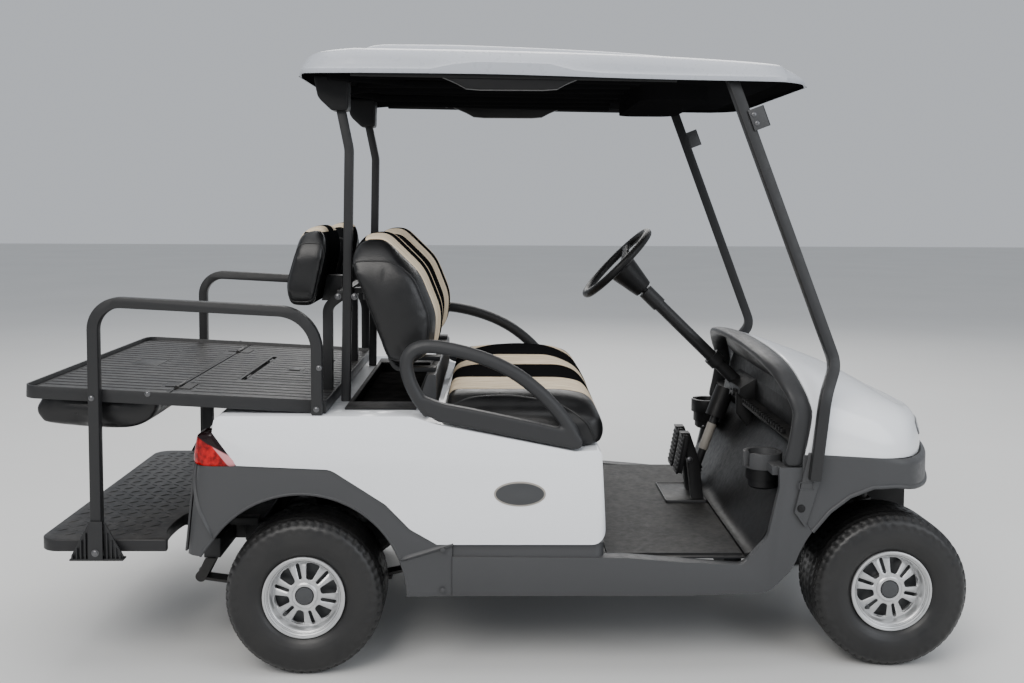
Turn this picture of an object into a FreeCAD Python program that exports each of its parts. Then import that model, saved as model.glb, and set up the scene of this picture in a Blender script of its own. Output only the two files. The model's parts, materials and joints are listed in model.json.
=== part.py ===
import FreeCAD, Part
import math
import os
import re

import Sketcher

V = FreeCAD.Vector
ORIGIN = V(0, 0, 0)
X_AXIS = V(1, 0, 0)
Y_AXIS = V(0, 1, 0)
Z_AXIS = V(0, 0, 1)

# Golf cart with a rear-facing flip seat. X runs forward, Y to the cart's left, Z up from the ground.
# Every size in millimetres: name, value, meaning.
SIZES = (
    ("rear_axle_x", -553, "rear axle, from the middle of the cart's length"),
    ("wheelbase", 1664, "rear axle to front axle"),
    ("track_front", 876, "between the middles of the front tyres"),
    ("track_rear", 978, "between the middles of the rear tyres"),
    ("tyre_od", 444, "outside diameter of a tyre"),
    ("tyre_width", 212, "widest part of a tyre"),
    ("tread_width", 176, "flat part of the tread"),
    ("rim_radius", 101, "bead seat of the wheel"),
    ("rim_wall", 8, "thickness of the wheel's barrel"),
    ("flange_radius", 116, "lip of the wheel"),
    ("rim_half_width", 95, "middle of the wheel to its lip"),
    ("hub_radius", 36, "hub of the wheel"),
    ("cap_radius", 24, "hub cap"),
    ("slot_inner", 42, "inner end of a wheel's slots"),
    ("slot_outer", 90, "outer end of a wheel's slots"),
    ("slot_wide", 15, "wide slot of a wheel"),
    ("slot_narrow", 9, "narrow slot of a wheel"),
    ("spindle_radius", 15, "spindle that carries a wheel"),
    ("kingpin_radius", 11, "steering pivot pin"),
    ("kingpin_y", 322, "steering pivot, from the middle"),
    ("steer_arm", 105, "steering pivot to tie rod"),
    ("tie_rod_radius", 9, "tie rod"),
    ("running_gap", 0.05, "radial clearance of a pin in its bore"),
    ("seat_gap", 0.3, "clearance between bodies that rest on each other"),
    ("moving_gap", 5, "clearance beside a moving piece"),
    ("rail_y", 160, "middle of a frame rail"),
    ("rail_width", 50, "frame rail, across"),
    ("rail_depth", 60, "frame rail, upright"),
    ("rail_bottom", 262, "underside of the frame rails"),
    ("outrigger_y", 356, "end of the spring outriggers"),
    ("motor_reach", 130, "drive motor, towards the right from the middle"),
    ("spring_y", 330, "middle of a leaf spring"),
    ("spring_width", 50, "leaf spring, across"),
    ("leaf_thickness", 8, "one spring leaf"),
    ("axle_radius", 35, "rear axle tube"),
    ("motor_radius", 75, "drive motor"),
    ("pan_thickness", 5, "floor pan"),
    ("mat_thickness", 6, "floor mat"),
    ("floor_half_width", 545, "floor pan, from the middle"),
    ("body_half_width", 592, "rear body side, from the middle"),
    ("fender_half_width", 600, "rear fender, from the middle"),
    ("sill_half_width", 590, "sill, from the middle"),
    ("panel_seam", 0.5, "seam between the fender's plane and the body side"),
    ("tail_lamp_reach", 97, "tail lamps, inward from the body side"),
    ("lip_reach", 208, "return lip of the rear arch, inward from the fender"),
    ("skin", 8, "thickness of the moulded body panels"),
    ("rear_arch_radius", 297, "rear wheel arch"),
    ("front_arch_radius", 300, "front wheel arch"),
    ("dash_half_width", 532.5, "dash and toe board between the ends of the brow, from the middle"),
    ("deck_height", 735, "rear deck above the ground"),
    ("strut_size", 32, "square tube of the roof struts"),
    ("rear_strut_size", 26, "square tube of the rear roof struts"),
    ("rear_strut_y", 355, "rear roof strut, from the middle"),
    ("roof_skin", 6, "thickness of the roof"),
    ("bed_half_width", 556, "rear bed, from the middle"),
    ("bed_length", 842, "rear bed, front to back"),
    ("bed_rim", 36, "height of the bed's rim"),
    ("bed_corner", 42, "radius of the bed's rear corners"),
    ("bed_slope", 2.9, "degrees by which the bed rises to the rear"),
    ("seam_back", 453, "bed front to the hinge of the flip plate"),
    ("plate_thickness", 14, "ribbed bed plates"),
    ("plate_drop", 12, "bed plates below the rim"),
    ("rail_tube", 30, "square tube of the grab rails"),
    ("grab_height", 264, "grab rail above the bed's rim"),
    ("step_top", 379, "rear footplate above the ground"),
    ("step_thickness", 34, "rear footplate"),
    ("step_half_width", 555, "rear footplate, from the middle"),
    ("wheel_rim_radius", 152, "steering wheel, middle of its rim"),
    ("wheel_grip_radius", 14, "steering wheel's grip"),
    ("column_radius", 22, "steering column"),
    ("column_y", 290, "steering column, from the middle"),
    ("arm_tube", 20, "armrest tube, radius"),
    ("lamp_inner", 215, "inner end of a head lamp, from the middle"),
    ("lamp_outer", 415, "outer end of a head lamp, from the middle"),
    ("arm_y", 576, "armrest, from the middle"),
    ("cup_radius", 42, "inside of a cup holder"),
    ("cup_wall", 6, "wall of a cup holder"),
    ("cushion_half_width", 545, "seat cushion, from the middle"),
    ("back_y", 268, "middle of a seat back"),
    ("back_half_width", 224, "half of a seat back's width"),
    ("rear_back_y", 235, "middle of a rear-facing back"),
    ("rear_back_half_width", 190, "half of a rear-facing back's width"),
)

doc = FreeCAD.newDocument("golf_cart")
sheet = doc.addObject("Spreadsheet::Sheet", "Sizes")
for row, (alias, value, meaning) in enumerate(SIZES, start=1):
    sheet.set("A%d" % row, alias)
    sheet.set("B%d" % row, str(value))
    sheet.set("C%d" % row, meaning)
    sheet.setAlias("B%d" % row, alias)
doc.recompute()
ALIASES = [alias for alias, value, meaning in SIZES]


class Sizes:
    """The sheet's values, read back by name."""


S = Sizes()
for alias in ALIASES:
    setattr(S, alias, float(sheet.get(alias)))

TYRE_R = S.tyre_od / 2
FLOOR = S.rail_bottom + S.rail_depth
PARTS = {}


def rear(distance):
    """X of a point ahead of the rear axle."""
    return S.rear_axle_x + distance


def front(distance):
    """X of a point ahead of the front axle."""
    return S.rear_axle_x + S.wheelbase + distance


# Helpers for parametric objects

def formula(text):
    """An expression over the sheet, written with bare aliases."""
    def named(match):
        word = match.group(0)
        return "Sizes." + word if word in ALIASES else word
    return re.sub(r"[a-z_]{4,}", named, str(text))


def number(text):
    """The value of such an expression."""
    result = sheet.evalExpression(formula(text).replace("Sizes.", ""))
    return float(getattr(result, "Value", result))


def bind(thing, **properties):
    """Bind properties of an object to expressions; two underscores stand for a dot."""
    for name, text in properties.items():
        thing.setExpression(name.replace("__", "."), formula(text))
    return thing


def place(thing, x="0", y="0", z="0"):
    return bind(thing, Placement__Base__x=x, Placement__Base__y=y, Placement__Base__z=z)


def box(name, corner, lengths):
    """A block from its low corner and its three lengths, all expressions."""
    block = doc.addObject("Part::Box", name)
    bind(block, Length=lengths[0], Width=lengths[1], Height=lengths[2])
    return place(block, *corner)


def rod(name, base, axis, radius, length):
    """A round bar from its base point along x, y or z."""
    bar = doc.addObject("Part::Cylinder", name)
    turns = {"x": FreeCAD.Rotation(Y_AXIS, 90), "y": FreeCAD.Rotation(X_AXIS, -90), "z": FreeCAD.Rotation()}
    bar.Placement = FreeCAD.Placement(ORIGIN, turns[axis])
    bind(bar, Radius=radius, Height=length)
    return place(bar, *base)


def fuse(name, pieces):
    joined = doc.addObject("Part::MultiFuse", name)
    joined.Shapes = pieces
    return joined


def cut(name, base, tool):
    rest = doc.addObject("Part::Cut", name)
    rest.Base = base
    rest.Tool = tool
    return rest


def both_sides(name, half):
    """The piece and its mirror image across the cart's middle plane."""
    image = doc.addObject("Part::Mirroring", name + "_image")
    image.Source = half
    image.Normal = Y_AXIS
    pair = doc.addObject("Part::Compound", name + "_pair")
    pair.Links = [half, image]
    return pair


def origin_plane(body, role):
    for feature in body.Origin.OriginFeatures:
        if feature.Role == role:
            return feature
    raise ValueError(role)


def sketch(body, name, role, corners, loops=None):
    """Closed outlines of straight lines on an origin plane; corners are pairs of expressions."""
    drawing = body.newObject("Sketcher::SketchObject", name)
    drawing.AttachmentSupport = [(origin_plane(body, role), "")]
    drawing.MapMode = "FlatFace"
    for loop in [corners] + list(loops or []):
        points = [V(number(a), number(b), 0) for a, b in loop]
        first = drawing.GeometryCount
        for i, point in enumerate(points):
            drawing.addGeometry(Part.LineSegment(point, points[(i + 1) % len(points)]), False)
        for i in range(len(points)):
            after = first + (i + 1) % len(points)
            drawing.addConstraint(Sketcher.Constraint("Coincident", first + i, 2, after, 1))
        for i, (a, b) in enumerate(loop):
            for kind, text, line in (("DistanceX", a, -2), ("DistanceY", b, -1)):
                if abs(number(text)) < 1e-9:
                    drawing.addConstraint(Sketcher.Constraint("PointOnObject", first + i, 1, line))
                    continue
                index = drawing.addConstraint(
                    Sketcher.Constraint(kind, -1, 1, first + i, 1, number(text)))
                drawing.setExpression("Constraints[%d]" % index, formula(text))
    return drawing


def pad(name, role, corners, thickness, loops=None):
    """A body with one pad along the plane's normal."""
    body = doc.addObject("PartDesign::Body", name)
    profile = sketch(body, name + "_outline", role, corners, loops)
    solid = body.newObject("PartDesign::Pad", name + "_pad")
    solid.Profile = profile
    solid.setExpression("Length", formula(thickness))
    profile.Visibility = False
    return body


# Helpers for shapes made in code

def wire2d(corners, lift):
    """A closed wire through corners (a, b) or (a, b, radius); lift puts (a, b) into space."""
    count = len(corners)
    points = [V(c[0], c[1], 0) for c in corners]
    radii = [c[2] if len(c) > 2 else 0 for c in corners]
    ends = []
    for i, point in enumerate(points):
        if not radii[i]:
            ends.append((point, None, point))
            continue
        back = (points[i - 1] - point)
        ahead = (points[(i + 1) % count] - point)
        half = back.getAngle(ahead) / 2
        back.normalize()
        ahead.normalize()
        reach = radii[i] / math.tan(half)
        middle = back + ahead
        middle.normalize()
        centre = point + middle * (radii[i] / math.sin(half))
        ends.append((point + back * reach, centre - middle * radii[i], point + ahead * reach))
    edges = []
    for i, (start, mid, end) in enumerate(ends):
        if mid is not None:
            edges.append(Part.Arc(lift(start), lift(mid), lift(end)).toShape())
        following = ends[(i + 1) % count][0]
        if end.distanceToPoint(following) > 1e-6:
            edges.append(Part.LineSegment(lift(end), lift(following)).toShape())
    return Part.Wire(edges)


def slab(plane, corners, low, high):
    """A solid between two levels across an outline in plane xz, xy or yz."""
    lifts = {
        "xz": (lambda p: V(p.x, low, p.y), V(0, high - low, 0)),
        "xy": (lambda p: V(p.x, p.y, low), V(0, 0, high - low)),
        "yz": (lambda p: V(low, p.x, p.y), V(high - low, 0, 0)),
    }
    lift, way = lifts[plane]
    return Part.Face(wire2d(corners, lift)).extrude(way)


def pair(half):
    """A solid and its mirror image across the middle plane, side by side."""
    return Part.makeCompound([half, half.mirror(ORIGIN, Y_AXIS)])


def mirrored(shape):
    return shape.mirror(ORIGIN, Y_AXIS)


def run(path):
    """A wire of straight runs joined by arcs, through points (x, y, z, radius)."""
    points = [V(*p[:3]) for p in path]
    radii = [p[3] if len(p) > 3 else 0 for p in path]
    edges = []
    start = points[0]
    for i in range(1, len(points) - 1):
        back = points[i - 1] - points[i]
        ahead = points[i + 1] - points[i]
        half = back.getAngle(ahead) / 2
        back.normalize()
        ahead.normalize()
        reach = radii[i] / math.tan(half)
        middle = back + ahead
        middle.normalize()
        centre = points[i] + middle * (radii[i] / math.sin(half))
        into, out = points[i] + back * reach, points[i] + ahead * reach
        edges.append(Part.LineSegment(start, into).toShape())
        edges.append(Part.Arc(into, centre - middle * radii[i], out).toShape())
        start = out
    edges.append(Part.LineSegment(start, points[-1]).toShape())
    return Part.Wire(edges)


def tube(path, size, square=False, depth=None):
    """A bar along a path: round of radius size, or square of side size in the path's plane."""
    spine = run(path)
    start = V(*path[0][:3])
    way = V(*path[1][:3]) - start
    way.normalize()
    if square:
        across = Y_AXIS if abs(way.dot(Y_AXIS)) < 0.9 else Z_AXIS
        side = way.cross(across)
        side.normalize()
        across = side.cross(way)
        across.normalize()
        a, b = size / 2, (depth or size) / 2
        ring = [start + side * (a * i) + across * (b * j) for i, j in ((1, 1), (-1, 1), (-1, -1), (1, -1))]
        profile = Part.makePolygon(ring + [ring[0]])
    else:
        profile = Part.Wire(Part.Circle(start, way, size).toShape())
    return spine.makePipeShell([profile], True, False)


def loft(sections):
    """A form through upright sections: (x, ring of (y, z) for the left half), mirrored."""
    wires = []
    for x, half in sections:
        ring = [V(x, y, z) for y, z in half] + [V(x, -y, z) for y, z in reversed(half) if y > 0]
        wires.append(Part.makePolygon(ring + [ring[0]]))
    return Part.makeLoft(wires, True, True)


def feature(name, shape):
    """A document object for a shape made in code."""
    thing = doc.addObject("Part::Feature", name)
    thing.Shape = shape
    thing.Placement = shape.Placement
    return thing


def part(name, thing):
    """Name a finished sub-part."""
    thing.Label = name
    PARTS[name] = thing
    return thing


# Wheels and tyres

def make_wheel(name, side, x, track):
    """Silver wheel: barrel, lips, dished disc, hub with a blind bore, and six pairs of slots."""
    body = doc.addObject("PartDesign::Body", name)
    # radius and outboard distance
    section = (
        ("spindle_radius + running_gap", "-12"), ("hub_radius", "-12"), ("hub_radius", "50"),
        ("rim_radius - rim_wall", "40"), ("rim_radius - rim_wall", "-rim_half_width"),
        ("flange_radius", "-rim_half_width"), ("flange_radius", "-rim_half_width + rim_wall"),
        ("rim_radius", "-rim_half_width + rim_wall + 2"), ("rim_radius", "rim_half_width - rim_wall - 2"),
        ("flange_radius", "rim_half_width - rim_wall"), ("flange_radius", "rim_half_width"),
        ("flange_radius - 8", "rim_half_width"), ("rim_radius - 5", "rim_half_width - rim_wall - 5"),
        ("slot_outer + 3", "58"), ("hub_radius", "72"),
        ("cap_radius", "76"), ("cap_radius - 3", "82"), ("0", "83"), ("0", "60"),
        ("spindle_radius + running_gap", "60"),
    )
    profile = sketch(body, name + "_section", "XY_Plane", section)
    revolve = body.newObject("PartDesign::Revolution", name + "_revolve")
    revolve.Profile = profile
    revolve.ReferenceAxis = (profile, ["V_Axis"])
    revolve.Angle = 360
    doc.recompute()
    slots = []
    for turn, width in ((-15, "slot_narrow"), (15, "slot_wide")):
        c, s_ = math.cos(math.radians(turn)), math.sin(math.radians(turn))
        slots.append([("%.9f * %s - %.9f * %s / 2 * %d" % (c, r, s_, width, k),
                       "%.9f * %s + %.9f * %s / 2 * %d" % (s_, r, c, width, k))
                      for r, k in (("slot_inner", -1), ("slot_outer", -1), ("slot_outer", 1), ("slot_inner", 1))])
    holes = sketch(body, name + "_slots", "XZ_Plane", slots[0], slots[1:])
    pocket = body.newObject("PartDesign::Pocket", name + "_pocket")
    pocket.Profile = holes
    pocket.Type = 1
    pocket.Midplane = False
    pocket.Reversed = False
    doc.recompute()
    if pocket.Shape.Volume > revolve.Shape.Volume - 1:
        pocket.Reversed = True
        doc.recompute()
    pattern = body.newObject("PartDesign::PolarPattern", name + "_pattern")
    pattern.Originals = [pocket]
    pattern.Axis = (origin_plane(body, "Y_Axis"), [""])
    pattern.Angle = 360
    pattern.Occurrences = 6
    body.Tip = pattern
    turn = FreeCAD.Rotation() if side > 0 else FreeCAD.Rotation(Z_AXIS, 180)
    body.Placement = FreeCAD.Placement(ORIGIN, turn)
    place(body, x, "%d * %s / 2" % (side, track), "tyre_od / 2")
    return part(name, body)


def make_tyre(name, side, x, track):
    body = doc.addObject("PartDesign::Body", name)
    # radius and distance from the middle of the tyre
    half = (
        ("rim_radius + seat_gap", "rim_half_width - rim_wall - 3"),
        ("rim_radius + 16", "rim_half_width - rim_wall - 3"),
        ("rim_radius + 20", "rim_half_width - 1"),
        ("rim_radius + 46", "tyre_width / 2"),
        ("tyre_od / 2 - 44", "tyre_width / 2"),
        ("tyre_od / 2 - 14", "tread_width / 2 + 8"),
        ("tyre_od / 2 - 2", "tread_width / 2 - 8"),
        ("tyre_od / 2", "tread_width / 4"),
    )
    section = list(half) + [(a, "-(" + b + ")") for a, b in reversed(half)]
    profile = sketch(body, name + "_section", "XY_Plane", section)
    revolve = body.newObject("PartDesign::Revolution", name + "_revolve")
    revolve.Profile = profile
    revolve.ReferenceAxis = (profile, ["V_Axis"])
    revolve.Angle = 360
    place(body, x, "%d * %s / 2" % (side, track), "tyre_od / 2")
    return part(name, body)


FRONT_X = "rear_axle_x + wheelbase"
WHEELS = (
    ("front_left", 1, FRONT_X, "track_front"),
    ("front_right", -1, FRONT_X, "track_front"),
    ("rear_left", 1, "rear_axle_x", "track_rear"),
    ("rear_right", -1, "rear_axle_x", "track_rear"),
)
for corner, side, x, track in WHEELS:
    make_wheel("wheel_" + corner, side, x, track)
    make_tyre("tyre_" + corner, side, x, track)


# Running gear

def make_frame():
    """Two box rails with cross members, spring outriggers and the front shock towers."""
    pieces = []
    for side in (-1, 1):
        pieces.append(box("rail_%d" % (side + 1), ("rear_axle_x - 250", "%d * rail_y - rail_width / 2" % side,
                      "rail_bottom"), ("wheelbase + 250 + 95", "rail_width", "rail_depth")))
    # name, x, length, reach to each side
    crossings = (
        ("tail", "rear_axle_x - 250", "50", "rail_y"),
        ("spring_rear", "rear_axle_x - 335", "50", "outrigger_y"),
        ("spring_front", "rear_axle_x + 305", "50", "outrigger_y"),
        ("seat", "rear_axle_x + 760", "50", "floor_half_width - 20"),
        ("toe", FRONT_X + " - 480", "50", "floor_half_width - 20"),
        ("axle", FRONT_X + " - 30", "60", "rail_y"),
        ("nose", FRONT_X + " + 45", "50", "rail_y"),
    )
    for name, x, length, reach in crossings:
        pieces.append(box("cross_" + name, (x, "-(%s)" % reach, "rail_bottom"),
                      (length, "2 * (%s)" % reach, "rail_depth")))
    pieces.append(box("tail_link", ("rear_axle_x - 335", "-rail_y", "rail_bottom"),
                  ("100", "2 * rail_y", "rail_depth")))
    return part("frame", fuse("frame_joined", pieces))


def make_rear_axle():
    """Axle tube, transaxle housing, spring pads, brake drums and wheel spindles."""
    tyre_inner = "(track_rear / 2 - rim_half_width)"
    pieces = [
        rod("axle_tube", ("rear_axle_x", "-" + tyre_inner, "tyre_od / 2"), "y", "axle_radius", "2 * " + tyre_inner),
        rod("axle_housing", ("rear_axle_x", "72", "tyre_od / 2"), "y", "80", "60"),
        rod("motor_housing", ("rear_axle_x - 118", "72", "tyre_od / 2 + 18"), "y", "motor_radius + 6", "60"),
        box("housing_web", ("rear_axle_x - 118", "72", "tyre_od / 2 - 60"), ("118", "60", "130")),
    ]
    for side in (-1, 1):
        drum = "%d * (track_rear / 2 - rim_half_width + 45) - 22" % side
        end = "%d * (track_rear / 2 + 25)" % side
        pieces.append(rod("drum_%d" % (side + 1), ("rear_axle_x", drum, "tyre_od / 2"), "y", "80", "44"))
        inner = "%d * track_rear / 2 - %s" % (side, "rim_half_width" if side > 0 else "45")
        pieces.append(rod("spindle_%d" % (side + 1), ("rear_axle_x", inner, "tyre_od / 2"), "y",
                      "spindle_radius", "rim_half_width + 45"))
        pieces.append(rod("axle_end_%d" % (side + 1), ("rear_axle_x",
                      "%d * (track_rear / 2 - rim_half_width + 10) - 15" % side, "tyre_od / 2"), "y",
                      "axle_radius", "30"))
    return part("rear_axle", fuse("rear_axle_joined", pieces))


def make_motor():
    body = rod("motor_block", ("rear_axle_x - 118", "-motor_reach", "tyre_od / 2 + 18"), "y",
               "motor_radius", "motor_reach + 72")
    return part("drive_motor", body)


def make_leaf_springs():
    """Three leaves under the axle, with a fixed front eye, a rear shackle and an axle clamp."""
    y0, y1 = S.spring_y - S.spring_width / 2, S.spring_y + S.spring_width / 2
    low = TYRE_R - S.axle_radius - 2 * S.seat_gap
    eye = 16
    front_eye = V(rear(330), 0, S.rail_bottom - eye)
    rear_eye = V(rear(-345), 0, 205)
    pieces = []
    # half length and drop of each leaf under the axle tube
    for number_, reach in enumerate((1.0, 0.68, 0.38)):
        drop = number_ * S.leaf_thickness
        inward = V(rear(0) * (1 - reach), 0, 0)
        ends = [front_eye * reach + inward, rear_eye * reach + inward]
        top = low - drop
        rises = [(front_eye.z - low) * reach ** 2, (rear_eye.z - low) * reach ** 2]
        a = V(ends[1].x, y0, top + rises[1])
        b = V(rear(0), y0, top)
        c = V(ends[0].x, y0, top + rises[0])
        down = V(0, 0, -S.leaf_thickness)
        edges = [Part.Arc(a, b, c).toShape(), Part.LineSegment(c, c + down).toShape(),
                 Part.Arc(c + down, b + down, a + down).toShape(), Part.LineSegment(a + down, a).toShape()]
        pieces.append(Part.Face(Part.Wire(edges)).extrude(V(0, S.spring_width, 0)))
    for centre in (front_eye, rear_eye):
        pieces.append(Part.makeCylinder(eye, S.spring_width, V(centre.x, y0, centre.z), Y_AXIS))
    lean = (rear(-312), S.rail_bottom)
    for y in (y0 - 6, y1):
        pieces.append(slab("xz", [(rear_eye.x - 15, rear_eye.z - 6, 8), (rear_eye.x + 12, rear_eye.z - 12, 8),
                                  (lean[0] + 15, lean[1]), (lean[0] - 18, lean[1])], y, y + 6))
    pieces.append(Part.makeCylinder(8, S.spring_width + 12, V(rear_eye.x, y0 - 6, rear_eye.z), Y_AXIS))
    pieces.append(Part.makeBox(80, S.spring_width, 10,
                               V(rear(-40), y0, low - 3 * S.leaf_thickness - 10)))
    half = pieces[0].multiFuse(pieces[1:])
    return part("leaf_springs", feature("leaf_springs_solid", pair(half)))


def make_front_axle():
    """Beam with a fork at each end; each fork has two ears bored for the steering pivot."""
    ear = S.kingpin_radius * 2
    web = S.kingpin_y - 52
    beam = Part.makeBox(44, 2 * (web + 20), 44, V(front(-22), -(web + 20), TYRE_R - 22))
    boss = Part.makeBox(60, 60, S.rail_bottom - TYRE_R - 22, V(front(-30), -30, TYRE_R + 22))
    solid = beam.fuse(boss)
    for side in (-1, 1):
        y = side * S.kingpin_y
        inner = min(side * web, side * (web + 26))
        solid = solid.fuse(Part.makeBox(44, 26, 108, V(front(-22), inner, TYRE_R - 54)))
        for z in (TYRE_R - 54, TYRE_R + 40):
            tongue = Part.makeBox(2 * ear, 52, 14, V(front(-ear), min(side * web, y), z))
            solid = solid.fuse(tongue.fuse(Part.makeCylinder(ear, 14, V(front(0), y, z))))
        bore = Part.makeCylinder(S.kingpin_radius + S.running_gap, 130, V(front(0), y, TYRE_R - 65))
        solid = solid.cut(bore)
    return part("front_axle", feature("front_axle_solid", solid))


def make_knuckle(name, side):
    """Pivot pin, boss, wheel spindle and the steering arm behind it."""
    y = side * S.kingpin_y
    boss_low, boss_high = TYRE_R - 35, TYRE_R + 35
    out = Y_AXIS * side
    reach = S.track_front / 2 + 25 - S.kingpin_y
    solid = Part.makeCylinder(20, boss_high - boss_low, V(front(0), y, boss_low))
    solid = solid.fuse(Part.makeCylinder(S.kingpin_radius, 108, V(front(0), y, TYRE_R - 54)))
    solid = solid.fuse(Part.makeCylinder(S.spindle_radius, reach, V(front(0), y, TYRE_R), out))
    arm = Part.makeBox(S.steer_arm, 16, 16, V(front(-S.steer_arm), y - 8, TYRE_R - 20))
    ball = Part.makeCylinder(13, 20, V(front(-S.steer_arm), y, TYRE_R - 22))
    solid = solid.fuse(arm).fuse(ball)
    bore = Part.makeCylinder(6 + S.seat_gap, 60, V(front(-S.steer_arm), y, TYRE_R - 40))
    solid = solid.cut(bore)
    return part(name, feature(name + "_solid", solid))


def make_tie_rod():
    """Rod between the steering arms, with a stud down into each arm."""
    top = TYRE_R - 2 + S.seat_gap
    y = S.kingpin_y
    solid = Part.makeCylinder(S.tie_rod_radius, 2 * y, V(front(-S.steer_arm), -y, top + 12), Y_AXIS)
    for side in (-1, 1):
        solid = solid.fuse(Part.makeCylinder(12, 24, V(front(-S.steer_arm), side * y, top)))
        solid = solid.fuse(Part.makeCylinder(6, 24, V(front(-S.steer_arm), side * y, top - 22)))
    return part("tie_rod", feature("tie_rod_solid", solid))


def make_steering_gear():
    """Gear box on the rails' line, between the left rail and the middle."""
    solid = Part.makeBox(90, 90, S.rail_depth, V(front(-240), 45, S.rail_bottom))
    return part("steering_gear", feature("steering_gear_solid", solid))


def make_shocks():
    """Front coil-over units from the axle beam up to the wheel-arch panel."""
    y, low, high = 245, TYRE_R + 22, 540
    body = Part.makeCylinder(19, high - low, V(front(0), y, low))
    for i in range(5):
        body = body.fuse(Part.makeTorus(24, 6, V(front(0), y, low + 70 + i * 34), Z_AXIS))
    for z in (low + 45, low + 225):
        body = body.fuse(Part.makeCylinder(32, 10, V(front(0), y, z)))
    return part("front_shocks", feature("front_shocks_solid", pair(body)))


make_frame()
make_rear_axle()
make_motor()
make_leaf_springs()
make_front_axle()
make_knuckle("knuckle_left", 1)
make_knuckle("knuckle_right", -1)
make_tie_rod()
make_steering_gear()
make_shocks()


# The rear bed is made level with its origin at the front of the rim's top, then leaned by the slope

BED_X = rear(63)
BED_Z = S.deck_height + S.bed_rim + S.seat_gap


def lean(shape):
    """Lean a shape made level about the bed's front edge, and set it in place."""
    leaned = shape.copy()
    leaned.rotate(ORIGIN, Y_AXIS, S.bed_slope)
    leaned.translate(V(BED_X, 0, BED_Z))
    return leaned


def bed_plate_top(station):
    """Height of the bed plates' top at a station ahead of the rear axle."""
    return BED_Z - S.plate_drop + (BED_X - rear(station)) * math.tan(math.radians(S.bed_slope))


def bed_block(x0, x1, y0, y1, z0, z1):
    return Part.makeBox(x1 - x0, y1 - y0, z1 - z0, V(x0, y0, z0))


def bed_plan(inset, z0, z1):
    """The bed's outline, drawn in by an inset, with round rear corners."""
    half, long, turn = S.bed_half_width - inset, S.bed_length - inset, S.bed_corner - inset
    return slab("xy", [(-inset, -half), (-inset, half), (-long, half, turn), (-long, -half, turn)], z0, z1)


PLATE_TOP = -S.plate_drop
PLATE_LOW = PLATE_TOP - S.plate_thickness
SEAM = -S.seam_back
LID_X = (-300, -100)
LID_Y = (-210, 280)
LID_HINGE = 8
LID_HINGE_Y = (-140, 210)
HINGE_Y = (-380, 380)
HINGE_UP = 3


# Floor and lower body

TOE_TOP = 612
PILLAR_TOP = 586
BODY_LOW = 376


def make_floor():
    half = "floor_half_width"
    back, fore = "rear_axle_x + 372", FRONT_X + " - 395"
    corners = ((back, "-" + half), (fore, "-" + half), (fore, half), (back, half))
    pan = pad("floor_pan_body", "XY_Plane", corners, "pan_thickness")
    place(pan, "0", "0", "rail_bottom + rail_depth")
    part("floor_pan", pan)
    back, fore, half = "rear_axle_x + 850", FRONT_X + " - 430", "(floor_half_width - 16)"
    corners = ((back, "-" + half), (fore, "-" + half), (fore, half), (back, half))
    mat = pad("floor_mat_body", "XY_Plane", corners, "mat_thickness")
    place(mat, "0", "0", "rail_bottom + rail_depth + pan_thickness")
    part("floor_mat", mat)


def make_toe_board():
    low = FLOOR + S.pan_thickness
    outline = [(front(-425), low), (front(-390), low, 40), (front(-300), 500, 60), (front(-242), 600),
               (front(-250), TOE_TOP), (front(-312), 506, 60), (front(-400), low + 10, 40), (front(-425), low + 10)]
    half = S.floor_half_width - 1
    solid = slab("xz", outline, -half, half)
    for y in (S.dash_half_width, -half - 1):
        solid = solid.cut(Part.makeBox(90, half + 1 - S.dash_half_width, 40, V(front(-320), y, PILLAR_TOP)))
    return part("toe_board", feature("toe_board_solid", solid))


def make_battery():
    low = "rail_bottom + rail_depth + pan_thickness"
    block = box("battery_block", ("rear_axle_x + 395", "-290", low), ("400", "580", "270"))
    return part("battery_pack", block)


def make_sills():
    """Side sill and the door pillar that rises from it, and the strip that wraps the seat base."""
    outline = [(rear(414), 230), (rear(1300), 230, 60), (front(-300), 288), (front(-240), 403), (front(-272), 449),
               (front(-270.5), PILLAR_TOP), (front(-337), PILLAR_TOP), (front(-335), 530, 60),
               (front(-366), 389, 60), (front(-435), 312, 40), (rear(900), 338), (rear(414), 341)]
    half = slab("xz", outline, S.floor_half_width, S.sill_half_width)
    plan = [(rear(400), 540), (front(-100), 540), (front(-100), 560), (front(-300), 561, 60),
            (front(-600), S.sill_half_width, 60), (rear(400), S.sill_half_width)]
    half = half.common(slab("xy", plan, 200, 700))
    wheel = Part.makeCylinder(S.front_arch_radius, 200, V(front(0), 500, TYRE_R), Y_AXIS)
    half = half.cut(wheel)
    top = BODY_LOW - S.seat_gap
    side = S.sill_half_width - 8
    outer = slab("xy", [(rear(414), -side), (rear(838), -side, 30), (rear(838), side, 30), (rear(414), side)],
                 FLOOR + S.pan_thickness, top)
    inner = slab("xy", [(rear(400), 14 - side), (rear(826), 14 - side, 16), (rear(826), side - 14, 16),
                        (rear(400), side - 14)], 0, 900)
    strip = outer.cut(inner)
    return part("sills", feature("sills_solid", half.fuse(mirrored(half)).fuse(strip)))


def rear_side(grow=0):
    """Side outline of the white rear body; grow moves it inward by that much."""
    g = grow
    return [(rear(372), BODY_LOW - g), (rear(843 - g), BODY_LOW - g, 0 if g else 40), (rear(827 - g), 643 - g, 15),
            (rear(752 - g / 2), 637 - g, 10), (rear(372), 712 - g, 20), (rear(300), S.deck_height - g, 60),
            (rear(-240 + g), S.deck_height - g, 20), (rear(-246 + g), 689, 5), (rear(-180 + g), 597 - g),
            (rear(78), 586 - g, 60), (rear(229 - g), 489 - g, 60), (rear(297 - g / 2), 419 - g, 60)]


TAIL_LOW = 592.5
RISER_TOP = 830
TAIL_HALF = S.body_half_width - S.tail_lamp_reach
WELL_X = (112, 302)
WELL_HALF = 400


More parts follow.
